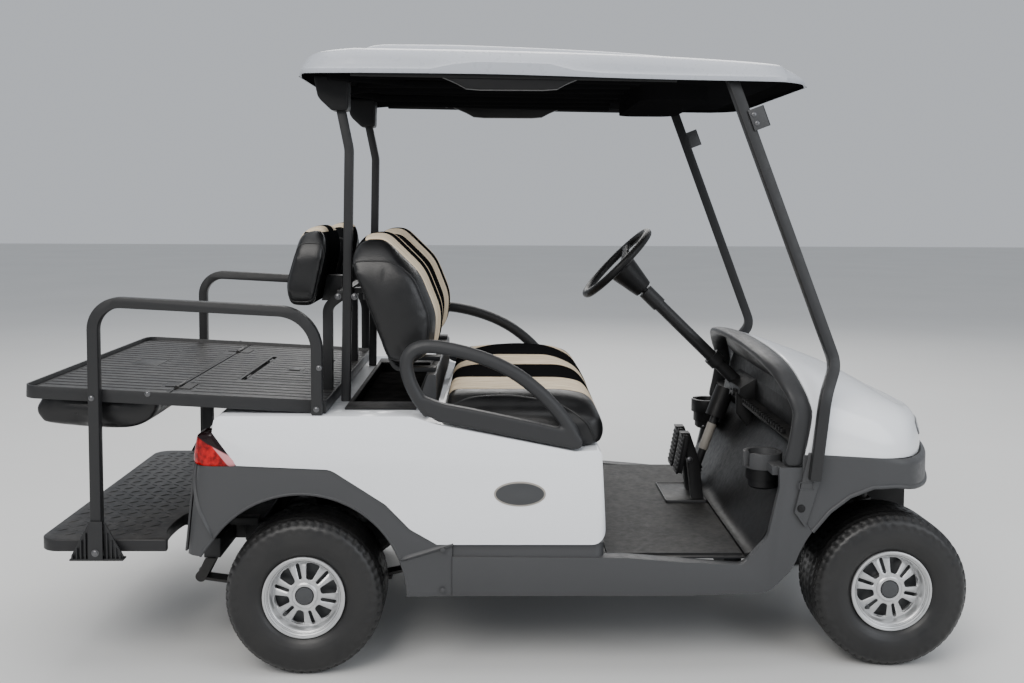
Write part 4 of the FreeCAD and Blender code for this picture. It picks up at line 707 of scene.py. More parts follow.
def make_liner():
    """Dark underside: the liner, its ribs, a skirt inside each long side and the moulded handholds. The liner and its
    ribs are black plastic made darker and without reflection as painted shade.
    """
    # painted shade: the liner in black with no reflection
    softened("roof_liner", 0.006).data.materials[0] = M["black_with_painted_shade"]
    ribs = [(rectangle(ra(120) * 1000, ra(930) * 1000, y - 11, y + 11), 1660, 1682, FLAT)
            for y in (-300, -150, 150, 300)]
    for x0, y0, x1, y1 in ((60, -480, 260, -300), (60, 480, 260, 300), (150, -170, 60, -20), (150, 170, 60, 20)):
        way = Vector((x1 - x0, y1 - y0)).normalized() * 9
        side = (-way.y, way.x)
        corners = [(ra(x) * 1000 + side[0] * k, y + side[1] * k) for x, y, k in
                   ((x0, y0, 1), (x1, y1, 1), (x1, y1, -1), (x0, y0, -1))]
        ribs.append((corners, 1664, 1688, FLAT))
    # painted shade: the liner's ribs in black with no reflection
    prisms("liner_ribs", ribs, "chassis", "black_with_painted_shade", 0.005, "black_plastic", segments=3)
    hold = rear_mm([(372, 1672), (420, 1652), (448, 1637), (486, 1634), (662, 1634), (700, 1637), (728, 1652),
                    (776, 1672), (776, 1690), (372, 1690)])
    skirt = rear_mm([(130, 1668), (1030, 1657), (1030, 1690), (130, 1700)])
    shapes = [(outline, *span(side, near, far), UPRIGHT) for side in (-1, 1)
              for outline, near, far in ((hold, 498, 530), (skirt, 530, 536))]
    prisms("handholds", shapes, "chassis", "black_plastic", 0.005, segments=3)
    for i, (x, side) in enumerate(((347, 1), (780, 1), (347, -1), (780, -1))):
        bolt("skirt_bolt_%d" % i, (ra(x), side * 0.5297, 1.680), (0, -side, 0), 0.006, 0.005, "chassis")


# Padding

def remeshed(voxel, rounds):
    """Modifiers that melt a mesh into one smooth skin."""
    return ("REMESH", {"mode": "VOXEL", "voxel_size": voxel}), ("SMOOTH", {"factor": 0.5, "iterations": rounds})


def pillow(name, node, voxel, cap, held, shape, side=0, rounds=20, limit=None):
    """A solid's skin blown up between its seams by a cloth simulation; held gives a point's hold, 0 to 1."""
    mesh = NODES[node].data.copy()
    with edited(mesh) as bm:
        bmesh.ops.remove_doubles(bm, verts=bm.verts, dist=1e-5)
        if side:
            bmesh.ops.delete(bm, geom=[v for v in bm.verts if v.co.y * side < 0], context="VERTS")
    piece = to_piece(name, mesh, BODY_OF[node], "seat_vinyl", SLOT_OF[node])
    modified(piece, *remeshed(voxel, rounds))
    for vert in piece.data.vertices:
        vert.co = shape(vert.co)
    blow_up(piece, cap, held, limit)
    modified(piece, ("SUBSURF", {"levels": 1, "render_levels": 1}))
    smooth_by_angle(piece.data, 80)
    return piece


# Settings of the cushions' cloth
CLOTH = dict(quality=3, mass=0.25, tension_stiffness=14.0, compression_stiffness=14.0, shear_stiffness=6.0,
             bending_stiffness=0.6, use_pressure=True, uniform_pressure_force=4.0, vertex_group_mass="held")
TICKS = 20


def blow_up(piece, cap, held, limit):
    """Run the cloth under pressure; no point moves more than cap, or out past limit across the cart."""
    scene = bpy.context.scene
    rest = [v.co.copy() for v in piece.data.vertices]
    group = piece.vertex_groups.new(name="held")
    for i, co in enumerate(rest):
        hold = held(co)
        if hold > 0:
            group.add([i], min(hold, 1.0), "REPLACE")
    cloth = piece.modifiers.new("cloth", "CLOTH")
    for key, value in CLOTH.items():
        setattr(cloth.settings, key, value)
    cloth.settings.effector_weights.gravity = 0.0
    cloth.point_cache.frame_start, cloth.point_cache.frame_end = 1, TICKS
    for tick in range(1, TICKS + 1):
        scene.frame_set(tick)
    blown = bpy.data.meshes.new_from_object(piece.evaluated_get(bpy.context.evaluated_depsgraph_get()))
    piece.modifiers.clear()
    for vert, new, old in zip(piece.data.vertices, blown.vertices, rest):
        move = new.co - old
        if move.length > cap:
            move *= cap / move.length
        vert.co = old + move
        if limit and abs(vert.co.y) > limit:
            vert.co.y = math.copysign(limit, vert.co.y)
    piece.vertex_groups.clear()
    scene.frame_set(1)


def pressed(piece, lines):
    """Press grooves into a piece: distance function, depth and width of each."""
    normals = [v.normal.copy() for v in piece.data.vertices]
    for vert, normal in zip(piece.data.vertices, normals):
        for distance, depth, width in lines:
            d = distance(vert.co) / width
            if d < 3:
                vert.co -= normal * depth * math.exp(-d * d)
    piece.data.update()


def piping(name, piece, body, origins, way, closed, radius=0.0032):
    """Sewn piping where rays from the origins meet a piece; way gives each ray's direction."""
    tree = BVHTree.FromPolygons([v.co.copy() for v in piece.data.vertices],
                                [tuple(p.vertices) for p in piece.data.polygons])
    hits = []
    for origin in origins:
        place, normal, index, distance = tree.ray_cast(origin, way(origin))
        if place is not None:
            hits.append(place - normal * radius * 0.25)
    if len(hits) < 4:
        raise ValueError(name + " misses its cushion")
    to_piece(name, tube_mesh(name, hits, radius, 8, closed), body, "seat_vinyl", None, 60)


def dress(piece, material, reach):
    """Striped cloth between the outer seams, and plain vinyl on the side panels outside them."""
    piece.data.materials[0] = M[material]
    piece.data.materials.append(M["seat_vinyl"])
    for face in piece.data.polygons:
        if abs(face.center.y) > reach:
            face.material_index = 1


def near_lines(co, lines, width):
    """1 on the nearest of some lines along the cart, 0 from a width away."""
    return max([0.0] + [1 - abs(co.y - y) / width for y in lines])


def make_bench():
    """Front bench with its stripes, pressed seams and piping."""
    crown_height, front_drop = 0.020, 0.022
    middle, far, near = FRONT_STRIPES[0], *FRONT_SEAMS
    seams = [side * (middle + off) for side in (-1, 1) for off in (-far, -near, near, far)]

    def held(co):
        base = 1.0 if co.z < 0.640 + max(0, ra(752) - co.x) * 0.197 + 0.02 else 0.0
        return max(base, 1.3 * near_lines(co, seams, 0.014), 1.3 * near_lines(co, (-0.5, 0.5), 0.014) * 0.7)

    def shape(co):
        """Raise the middle of the top, and round the front down to it."""
        up = step_up(co.z, 0.70, 0.80)
        crown = crown_height * (1 - min(abs(co.y) / 0.5, 1) ** 1.6) * up
        nose = max(0, (co.x - ra(700)) / 0.115)
        return Vector((co.x, co.y, co.z + crown - front_drop * nose * nose * up))

    pad = pillow("bench_pad", "seat_cushion", 0.011, 0.010, held, shape, rounds=14, limit=0.552)
    pressed(pad, [(lambda co: min(abs(co.y - y) for y in seams), 0.0024, 0.005)])
    dress(pad, "bench_striped", 0.422)
    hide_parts("seat_cushion")
    side_seam = smooth_rows([(388, 722), (395, 740), (451, 764), (530, 771), (609, 769), (700, 755), (748, 736),
                             (787, 708), (805, 675), (812, 655)], 6)
    for name, side in SIDES:
        origins = [Vector((ra(x), side * 0.7, z / 1000)) for x, z in side_seam]
        piping("bench_piping_" + name, pad, BODY_OF["seat_cushion"], origins,
               lambda o, side=side: Vector((0, -side, 0)), False)


def make_backs():
    """Both seat backs and both rear-facing backs: one of each is blown up, the other is its mirror image."""
    kinds = (("back_pad", "seat_backs", FRONT_STRIPES[0], 0.224, FRONT_SEAMS, 0.010, 0.010, (ra(250), 1.04),
              "back_striped", (ra(150), 0.93, 1)),
             ("rear_pad", "rear_backs", REAR_STRIPES[0], 0.190, REAR_SEAMS, 0.008, 0.007, (ra(-20), 1.13),
              "rear_striped", (ra(15), 1.04, -1)))
    for name, node, middle, half, offs, voxel, cap, centre, material, pivot in kinds:
        seams = [middle + side * off for side in (-1, 1) for off in offs]
        edges = (middle - half + 0.016, middle + half - 0.016)

        def held(co, seams=seams, edges=edges):
            return 1.25 * max(near_lines(co, seams, 0.012), near_lines(co, edges, 0.010))

        def shape(co, middle=middle, half=half, pivot=pivot):
            """Draw the face and the top in towards the sides."""
            px, pz, way = pivot
            k = 0.14 * min(abs(co.y - middle) / half, 1) ** 3
            x = co.x - (co.x - px) * k if (co.x - px) * way > 0 else co.x
            return Vector((x, co.y, co.z - (co.z - pz) * k if co.z > pz else co.z))

        def inward(origin, centre=centre):
            return Vector((centre[0] - origin.x, 0, centre[1] - origin.z)).normalized()

        pad = pillow(name + "_left", node, voxel, cap, held, shape, side=1)
        pressed(pad, [(lambda co, seams=seams: min(abs(co.y - y) for y in seams), 0.0024, 0.0045)])
        mesh = pad.data.copy()
        mesh.transform(Matrix.Diagonal((1, -1, 1, 1)))
        mesh.flip_normals()
        other = linked(name + "_right", mesh)
        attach(other, BODY_OF[node])
        for piece, side in ((pad, 1), (other, -1)):
            dress(piece, material, middle + offs[0] + 0.004)
            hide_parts(node)
            for edge, place in zip(edges, ("inner", "outer")):
                ring = [Vector((centre[0] + 0.6 * math.cos(a), side * edge, centre[1] + 0.6 * math.sin(a)))
                        for a in full_turn(72)]
                piping("%s_piping_%s" % (piece.name, place), piece, BODY_OF[node], ring, inward, True, 0.003)


def make_flip_pad():
    """Cushion of the flip seat, on the underside of the rear plate."""
    seams = (-0.385, -0.118, 0.118, 0.385)
    into_bed = BED.inverted()

    def held(co):
        p = into_bed @ co
        return 1.0 if p.z > -0.034 else 1.1 * near_lines(p, seams + (0.0,), 0.012)

    def shape(co):
        """Fuller over the rear edge, thinner towards the seam."""
        p = into_bed @ co
        depth = -p.z - 0.036
        p.x -= 0.018 * step_up(depth, 0.006, 0.034) * (1 - step_up(p.x, -0.80, -0.70))
        t = max(0, (p.x + 0.573) / 0.100)
        p.z = -0.0265 + (p.z + 0.0265) * (1 - 0.5 * min(t, 1) ** 2)
        return BED @ p

    pad = pillow("flip_pad", "flip_cushion", 0.013, 0.008, held, shape, rounds=8)
    # gathered folds along the edge
    normals = [v.normal.copy() for v in pad.data.vertices]
    for vert, normal in zip(pad.data.vertices, normals):
        p = into_bed @ vert.co
        edge = math.exp(-((p.z + 0.034) / 0.022) ** 2)
        run = p.x if abs(normal.y) > 0.7 else p.y
        fold = math.sin(run * 2 * math.pi / 0.047 + 2.2 * math.sin(run * 31)) * (0.6 + 0.4 * math.sin(run * 13))
        if abs(normal.z) < 0.6:
            vert.co += normal * 0.0032 * edge * fold
    pressed(pad, [(lambda co: min(abs(co.y - y) for y in seams), 0.002, 0.005)])
    dress(pad, "flip_striped", 0.373)
    for face in pad.data.polygons:
        if abs(face.normal.z) < 0.75:
            face.material_index = 1
    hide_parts("flip_cushion")


# Rear bed

SEAM, PLATE_TOP, BED_LENGTH = -453, -12, 842
RIB_PITCH, RIB_COUNT = 46, 24


def rib(x0, x1, y):
    """A flat rib along X with rounded ends, in the bed's frame."""
    return (rounded(x0, x1, y - 15.5, y + 15.5, 6, 3), PLATE_TOP - 0.2, PLATE_TOP + 1.2, BED)


def make_ribs():
    """Ribs, pull and latch of the bed, of the hatch and of the flip plate."""
    fixed, lid, flip = [], [], []
    for i in range(RIB_COUNT):
        y = (i - (RIB_COUNT - 1) / 2) * RIB_PITCH
        by_hinge = abs(abs(y) - 380) < 74
        back = SEAM + (50 if by_hinge else 10)
        if -234 < y < 304:
            fixed += [rib(back, -326, y), rib(-88, -14, y)]
        else:
            fixed.append(rib(back, -14, y))
        if -198 < y < 268:
            by_latch = abs(y - 23) < 40
            lid += [rib(a, b, y) for a, b in (((-290, -222), (-158, -110)) if by_latch else ((-290, -110),))]
        end = SEAM - (50 if abs(abs(y) - 380) < 40 else 10)
        tail = -BED_LENGTH + (52 if abs(y) > 505 else 22)
        if abs(y - 16) < 78:
            flip += [rib(tail, -712, y), rib(-618, end, y)]
        else:
            flip.append(rib(tail, end, y))
    for name, ribs, body in (("bed_ribs", fixed, "chassis"), ("lid_ribs", lid, "storage_lid_body"),
                             ("flip_ribs", flip, "rear_seat")):
        prisms(name, ribs, body, "step_plate", 0.0006, segments=1)
    prisms("flip_pull", [(rounded(-706, -624, -52, 84, 8), PLATE_TOP - 0.2, PLATE_TOP + 1.2, BED),
                         (rounded(-698, -632, -42, 74, 6), PLATE_TOP + 1.0, PLATE_TOP + 1.8, BED)],
           "rear_seat", "black_plastic", 0.0005)
    prisms("hatch_latch", [(rounded(-216, -164, -10, 56, 7), PLATE_TOP - 0.2, PLATE_TOP + 1.6, BED),
                           (rounded(-207, -173, -2, 30, 5), PLATE_TOP + 1.4, PLATE_TOP + 4.0, BED)],
           "storage_lid_body", "black_plastic", 0.0005)
    lathe("hatch_key", [(0.009, 0), (0.009, 0.001), (0.0075, 0.0016), (0.003, 0.0018)],
          BED @ Vector((-0.190, 0.043, PLATE_TOP / 1000 + 0.0012)), BED.to_3x3() @ Z_AXIS, "storage_lid_body",
          "bolt_steel", 24, "steel_dark")


# Rear step

def make_footplate():
    """Diamond plate with round corners and a notch beside each tyre, on a deep folded rim."""
    half, back, fore, top, deep = 555, -745, -385, 379, 34
    notch = smooth_rows([(fore - 1, 278), (-402, 303), (-409, 340), (-412, 390), (-411, 438), (-405, 482), (-393, 515),
                         (fore - 2, 535)], 4)
    one = [(fore, 0), (fore, 262)] + [tuple(row) for row in notch] + [(fore, half - 4), (fore - 4, half)]
    one += arc(-690, half - 55, 55, 90, 10) + [(back, half - 75), (back, 0)]
    outline = rear_mm(one) + [(x, -y) for x, y in rear_mm(one[-2:0:-1])]
    plate = prisms("step_top", [(outline, top - deep, top, FLAT)], "chassis", "step_plate", 0.004, segments=3)
    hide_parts("footplate")
    points, faces = [], []
    for i in range(-5, 6):
        for j in range(-13, 14):
            x, y = ra(-565 + i * 36) * 1000, j * 42
            if abs(y) > half - 26 or (abs(y) > 240 and x > ra(fore - 55) * 1000):
                continue
            if x < ra(back + 24) * 1000 or (abs(y) > half - 70 and x < ra(back + 60) * 1000):
                continue
            lozenge(points, faces, (x, y, top), math.radians(40 if (i + j) % 2 else -40))
    to_piece("step_lozenges", mesh_of("step_lozenges", points, faces), "chassis", "step_plate", None, 25)


def lozenge(points, faces, place, turn, half=17, wide=4.2, high=1.5):
    """A raised pointed bar, as on tread plate, added to lists of points and faces."""
    x, y, z = place
    base = len(points)
    c, s = math.cos(turn), math.sin(turn)
    for run, w, h in ((-1, 0.05, 0), (-0.62, 0.72, 0.85), (0, 1, 1), (0.62, 0.72, 0.85), (1, 0.05, 0)):
        for k, lift in ((-1, 0), (-0.45, 1), (0.45, 1), (1, 0)):
            a, b = half * run, wide * w * k
            points.append(((x + c * a - s * b) / 1000, (y + s * a + c * b) / 1000,
                           (z - 0.3 + (0.3 + high * h) * lift) / 1000))
    for a in range(base, base + 16, 4):
        faces += [(a + j, a + (j + 1) % 4, a + 4 + (j + 1) % 4, a + 4 + j) for j in range(4)]
    faces += [(base, base + 1, base + 2, base + 3), (base + 16, base + 17, base + 18, base + 19)]


# Wheels

HUB_HEIGHT = 0.222
HUBS = {"front_left": (1.111, 0.438), "front_right": (1.111, -0.438), "rear_left": (-0.553, 0.489),
        "rear_right": (-0.553, -0.489)}
# across and radius, from the outer bead over the tread to the middle, in millimetres
TYRE_HALF = ((84, 101.3), (85, 112), (90, 120), (97, 130), (104, 146), (106, 165), (104.5, 182), (100, 197),
             (92, 210), (84, 217.5), (72, 220.6), (54, 221.6), (30, 222), (0, 222))


LUGS, TEETH = 54, 40


def tread(turn, w):
    """Depth of the tread at an angle and distance across, in millimetres."""
    side = abs(w)
    zig = 2.6 * math.sin(turn * LUGS)
    depth = 0.0
    for middle, wide in ((16, 2.6), (44, 2.8), (72, 2.8)):
        depth = max(depth, 5.0 * (1 - step_up(abs(side - middle - zig), wide - 1, wide + 1.6)))
    pitch = 2 * math.pi / LUGS
    slant = turn + math.copysign(0.0016, w) * side
    cell = abs((slant / pitch + (0.5 if w < 0 else 0)) % 1 - 0.5) * pitch * 222
    if side > 72:
        depth = max(depth, 4.2 * (1 - step_up(cell, 1.8, 3.8)) * (1 - step_up(side, 90, 100)))
    elif side > 44:
        depth = max(depth, 3.4 * (1 - step_up(abs(cell - 7), 0.8, 2.4)))
    return depth


def relief(turn, w, r):
    """How far the skin stands out, in millimetres: tread, toothed shoulder and ridges on the sidewall."""
    push = -tread(turn, w) if abs(w) < 104 and r > 196 else 0.0
    if 178 < r < 212 and abs(w) > 84:
        tooth = 191 + 5.5 * math.asin(math.sin(turn * TEETH)) / (math.pi / 2)
        push += 2.6 * step_up(r, tooth - 1.2, tooth + 1.2) * (1 - step_up(r, 203, 212))
    if abs(w) > 90:
        push += sum(math.exp(-((r - ridge) / 2.6) ** 2) for ridge in (128, 160))
    return push


def make_tyre(corner):
    """Treaded tyre of one corner."""
    x, y = HUBS[corner]
    side = 1 if y > 0 else -1
    half = smooth_rows(TYRE_HALF, 3)
    section = [(w, r) for w, r in half] + [(-w, r) for w, r in half[-2::-1]]
    rings = []
    for turn in full_turn(216):
        ring = []
        for i, (w, r) in enumerate(section):
            w0, r0 = section[max(i - 1, 0)]
            w1, r1 = section[min(i + 1, len(section) - 1)]
            length = math.hypot(w1 - w0, r1 - r0) or 1
            out_w, out_r = (r1 - r0) / length, (w0 - w1) / length
            if out_r * (r - 150) < 0 and abs(w) < 90:
                out_r = abs(out_r)
            if r < 150:
                out_r = 0
            out_w = math.copysign(out_w, w) if w else 0
            push = relief(turn, w, r)
            across, radius = (w + out_w * push) / 1000, (r + out_r * push) / 1000
            ring.append(Vector((x + radius * math.cos(turn), y + side * across,
                                HUB_HEIGHT + radius * math.sin(turn))))
        rings.append(ring)
    mesh = ring_mesh("tyre", rings + rings[:1], caps=False)
    with edited(mesh) as bm:
        bmesh.ops.remove_doubles(bm, verts=bm.verts, dist=1e-6)
        bmesh.ops.recalc_face_normals(bm, faces=bm.faces)
    piece = to_piece("treaded_tyre_" + corner, mesh, "wheel_%s_body" % corner, "tyre", None, 50)
    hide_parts("tyre_" + corner)


def melted(node, voxel, rounds, swell=0.0):
    """A copy of a solid melted into one smooth skin, standing for it."""
    mesh = NODES[node].data.copy()
    piece = to_piece(node + "_shape", mesh, BODY_OF[node], SLOT_OF[node])
    modified(piece, *remeshed(voxel, rounds))
    if swell:
        normals = [v.normal.copy() for v in piece.data.vertices]
        for vert, normal in zip(piece.data.vertices, normals):
            vert.co += normal * swell
            vert.co.y = max(-0.599, min(0.599, vert.co.y))
    smooth_by_angle(piece.data, 60)
    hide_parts(node)
    return piece


def turned(name, section, centre, side, body, material, slot=None):
    """A closed ring turned about a wheel's axis; section is (radius, distance outboard) in millimetres."""
    rings = [[Vector((centre[0] + r / 1000 * math.cos(a), centre[1] + side * d / 1000,
                      centre[2] + r / 1000 * math.sin(a))) for a in full_turn(96)]
             for r, d in section + section[:1]]
    mesh = ring_mesh(name, rings, caps=False)
    weld(mesh, 2e-6)
    return to_piece(name, mesh, body, material, slot, 35)


def weld(mesh, distance):
    """Join a mesh's coinciding points and turn its faces outward."""
    with edited(mesh) as bm:
        bmesh.ops.remove_doubles(bm, verts=bm.verts, dist=distance)
        bmesh.ops.dissolve_degenerate(bm, edges=bm.edges, dist=distance)
        bmesh.ops.recalc_face_normals(bm, faces=bm.faces)


# Wheel disc: inner and outer end of a window, half widths there, and radius of its corners
WINDOWS = ((45, 91, 7.6, 20.2, 6.5), (46, 89.5, 4.4, 5.4, 4.2))
# where the disc is divided, from hub to rim
DISC_RADII = (35, 38, 42, 45, 46.3, 47.5, 49, 51.5, 55, 60, 66, 72, 77, 81, 84, 86, 87.6, 89, 91, 94)


def window_half(kind, r):
    """Half width of a window at a radius."""
    inner, outer, narrow, wide, corner = WINDOWS[kind]
    if not inner < r < outer:
        return 0.0
    half = narrow + (wide - narrow) * (r - inner) / (outer - inner)
    for end in (r - inner, outer - r):
        if end < corner:
            half -= corner - math.sqrt(corner ** 2 - (corner - end) ** 2)
    return max(half, 0.0)


def wheel_disc(name, centre, side, body):
    """Dished disc with six wide windows and six narrow ones between rounded spokes."""
    columns, sector = 5, math.radians(30)
    points, faces, index = [], [], {}

    def point(r, a, rise):
        # the disc leans in from the hub to the rim
        drop = 72 - 14 * (r - 36) / 57
        key = (round(r, 2), round(a, 5))
        if key not in index:
            index[key] = len(points)
            points.append((centre[0] + r / 1000 * math.cos(a), centre[1] + side * (drop + rise) / 1000,
                           centre[2] + r / 1000 * math.sin(a)))
        return index[key]

    for s in range(12):
        mid, kind = s * sector + math.radians(15), s % 2
        for half_side in (-1, 1):
            rows = []
            for r in DISC_RADII:
                edge = window_half(kind, r) / r
                row = []
                crest = 3.2 * step_up(r, 38, 50) * (1 - step_up(r, 82, 93))
                for c in range(columns + 1):
                    t = c / columns
                    a = mid + half_side * (edge + (sector / 2 - edge) * t)
                    row.append(point(r, a % (2 * math.pi), crest * math.sin(math.pi / 2 * min(1, t * 1.6))))
                rows.append(row)
            for low, high in zip(rows, rows[1:]):
                for c in range(columns):
                    quad = dict.fromkeys((low[c], low[c + 1], high[c + 1], high[c]))
                    if len(quad) > 2:
                        faces.append(tuple(quad))
    mesh = mesh_of(name, points, faces)
    weld(mesh, 5e-6)
    with edited(mesh) as bm:
        if sum(f.normal.y * side for f in bm.faces) < 0:
            bmesh.ops.reverse_faces(bm, faces=bm.faces)
    piece = to_piece(name, mesh, body, "wheel_silver")
    modified(piece, ("SOLIDIFY", {"thickness": 0.009, "offset": -1.0}), bevel(0.0012, 55))
    smooth_by_angle(piece.data, 45)
    return piece


def make_wheel(corner):
    """Rim, disc, hub, drum, cap and valve of one corner."""
    x, y = HUBS[corner]
    side, body, centre = (1 if y > 0 else -1), "wheel_%s_body" % corner, (x, y, HUB_HEIGHT)
    barrel = [(93, -93), (93, 54), (94, 62), (96.5, 78), (100, 83), (104.5, 85), (105, 89.5), (108, 91), (109, 94.5),
              (112, 95.5), (115, 94.5), (116, 92), (115.5, 87.5), (104, 85.5), (101, 80), (101, -80), (104, -85.5),
              (115.5, -87.5), (116, -92), (113, -95), (107, -94)]
    rim = turned("rim_" + corner, barrel, centre, side, body, "wheel_silver")
    disc = wheel_disc("disc_" + corner, centre, side, body)
    hub = turned("hub_" + corner, [(15.2, -12), (36, -12), (36, 66), (37.5, 71), (36.5, 75), (33, 77.5), (27, 77),
                                   (25, 73), (24.5, 60), (15.2, 60)], centre, side, body, "wheel_silver")
    turned("drum_" + corner, [(38, 30), (92, 30), (92, 33), (38, 33)], centre, side, body, "cap_dark",
           slot="black_plastic")
    for piece in (rim, disc, hub):
        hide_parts("wheel_" + corner)
    cap = [(0.0242, 0.070), (0.0242, 0.0772), (0.0225, 0.0795), (0.016, 0.0808), (0.0, 0.0812)]
    lathe("wheel_cap_" + corner, cap, centre, (0, side, 0), body, "cap_dark", 48, "black_plastic")
    a = math.radians(225)
    lathe("valve_" + corner, [(0.0055, 0.045), (0.0055, 0.060), (0.0035, 0.061), (0.0035, 0.070), (0.0015, 0.0705)],
          (x + 0.081 * math.cos(a), y, HUB_HEIGHT + 0.081 * math.sin(a)), (0, side, 0), body, "cap_dark", 16,
          "black_plastic")


# Details

def make_rails():
    """Grab rails with their gusseted feet and bolts."""
    rails = softened("grab_rails", 0.003)
    for vert in rails.data.vertices:
        if vert.co.z < 0.300:
            vert.co.z += 0.050
    plates, ribs = [], []
    x = ra(-571) * 1000
    for side in (-1, 1):
        plates.append((rectangle(x - 20, x + 20, 332, 440), *span(side, 586.6, 590.5), UPRIGHT))
        for way in (-1, 1):
            outline = [(x + way * a, z) for a, z in ((18, 434), (22, 434), (72, 340), (72, 332), (18, 332))]
            plates.append((outline, *span(side, 571, 577), UPRIGHT))
            ribs += [(rectangle(x + way * k - 2, x + way * k + 2, 332, top), *span(side, 577, 585), UPRIGHT)
                     for k, top in ((30, 405), (42, 385), (54, 362), (66, 343))]
        plates.append((rectangle(x - 74, x + 74, 328, 333), *span(side, 555, 586), UPRIGHT))
    prisms("rail_feet", plates + ribs, "chassis", "painted_tube", 0.0012)
    for name, side in SIDES:
        bolt("rail_foot_bolt_" + name, (x / 1000, side * 0.5905, 0.352), (0, side, 0), 0.0075, 0.006, "chassis")
        places = ((-575, 783, 0.5866), (-431, 790, 0.5563), (40, 753, 0.5866), (48, 868, 0.5866))
        for i, (xb, zb, yb) in enumerate(places):
            bolt("bed_bolt_%s_%d" % (name, i), (ra(xb), side * yb, zb / 1000), (0, side, 0), 0.006, 0.005, "chassis")


# Rear fenders and armrests

# angle on the wheel arch, and the panel's outer edge beside it: distance ahead of the rear axle
# measured round the rear corner, and height
FENDER_EDGE = ((1.5, 414, 230), (12, 414, 310), (22, 414, 374), (22.5, 413.5, 374.5), (34, 372, 377), (44, 297, 420),
               (56, 229, 489), (67, 152, 547), (78, 78, 582), (90, 0, 593), (104, -90, 597), (118, -180, 597),
               (130, -255, 595), (138, -300, 593), (144, -340.5, 592), (144.5, -341, 591.5), (150, -341, 500),
               (153.5, -341, 400), (156, -341, 344))
CORNER_X, CORNER_R = -255, 55


def round_corner(x, z, y):
    """A place on the side, with what lies behind the corner wrapped round it."""
    if x >= CORNER_X:
        return Vector((ra(x), y / 1000, z / 1000))
    turn = min((CORNER_X - x) / CORNER_R, math.pi / 2)
    r = CORNER_R + y - 600
    lean = 27 * max(0, 592 - z) / 247 * math.sin(turn)
    return Vector((ra(CORNER_X - lean - r * math.sin(turn)), (545 + r * math.cos(turn)) / 1000, z / 1000))


def make_armrests():
    """Tube looped over a solid base, the two grown together."""
    loop = [(752, 660), (744, 692), (706, 746), (655, 800), (595, 847), (530, 882), (460, 907), (395, 922), (345, 927),
            (309, 918), (289, 893), (288, 858), (302, 815), (325, 775), (352, 741)]
    loop = [Vector((ra(x), 0.577, z / 1000)) for x, z in smooth_rows(loop, 4)]
    foot = [(320, 770), (350, 733), (372, 720), (440, 706), (752, 643), (770, 646), (775, 668), (762, 686), (738, 697),
            (600, 727), (470, 754), (385, 770), (345, 786), (330, 788)]
    foot = rear_mm(foot)
    for name, side in SIDES:
        piece = prisms("armrest_" + name, [(foot, *span(side, 558, 595), UPRIGHT)], "chassis", "brow_dark", 0.004,
                       "black_plastic")
        with edited(piece.data) as bm:
            bm.from_mesh(tube_mesh("loop", [flipped(p, side) for p in loop], 0.0195, 20))
        modified(piece, *remeshed(0.004, 9))
        smooth_by_angle(piece.data, 60)
        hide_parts("armrests")


def make_rear_fenders():
    """Skins beside the wheels and round the rear corners, their wells, lips and the skirt between them."""
    rows, arch = [], []
    arch_x, arch_r = -5, 297
    for angle, x, z in smooth_rows(FENDER_EDGE, 4):
        a = math.radians(angle)
        ax, az = arch_x + arch_r * math.cos(a), HUB_HEIGHT * 1000 + arch_r * math.sin(a)
        ux = ax if ax >= CORNER_X else CORNER_X - CORNER_R * math.asin((CORNER_X - ax) / CORNER_R)
        row = []
        for i in range(13):
            k = i / 12
            row.append(round_corner(ux + (x - ux) * k, az + (z - az) * k, 593.8 - 7 * k * k))
        rows.append(row)
        arch.append(row[0])
    tail = [[Vector((ra(-309.5 - 27 * j / 8), y / 1000, (591.5 - 247 * j / 8) / 1000)) for j in range(9)]
            for y in range(-545, 546, 109)]
    for name, side in SIDES:
        shape = [[flipped(p, side) for p in row] for row in rows]
        skin = panel("rear_fender_" + name, shape, 0.006, "chassis", "trim_grey", 0.001, (ra(0), 0, 0.4))
        well = [[Vector((p.x, side * (abs(p.y) - 0.003 - 0.205 * j / 6), p.z)) for j in range(7)] for p in arch]
        tunnel = panel("rear_well_" + name, well, 0.004, "chassis", "trim_grey", 0.0004, (ra(-5), 0.5 * side, 5.0))
        lip = [Vector((p.x, side * (abs(p.y) - 0.0045), p.z)) for p in arch]
        to_piece("rear_lip_" + name, tube_mesh("lip", lip, 0.0055, 12), "chassis", "trim_grey", None, 60)
        for piece in (skin, tunnel):
            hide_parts("rear_fenders")
    skirt = panel("tail_skirt", tail, 0.006, "chassis", "trim_grey", 0.001, (0, 0, 0.5))
    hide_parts("rear_fenders")


# Painted shade: the body's corner behind each tail lamp is coloured black; where it begins, its foot and its top
LAMP_SHADE_X, LAMP_SHADE_FOOT, LAMP_SHADE_TOP = ra(-270), 0.592, 0.735


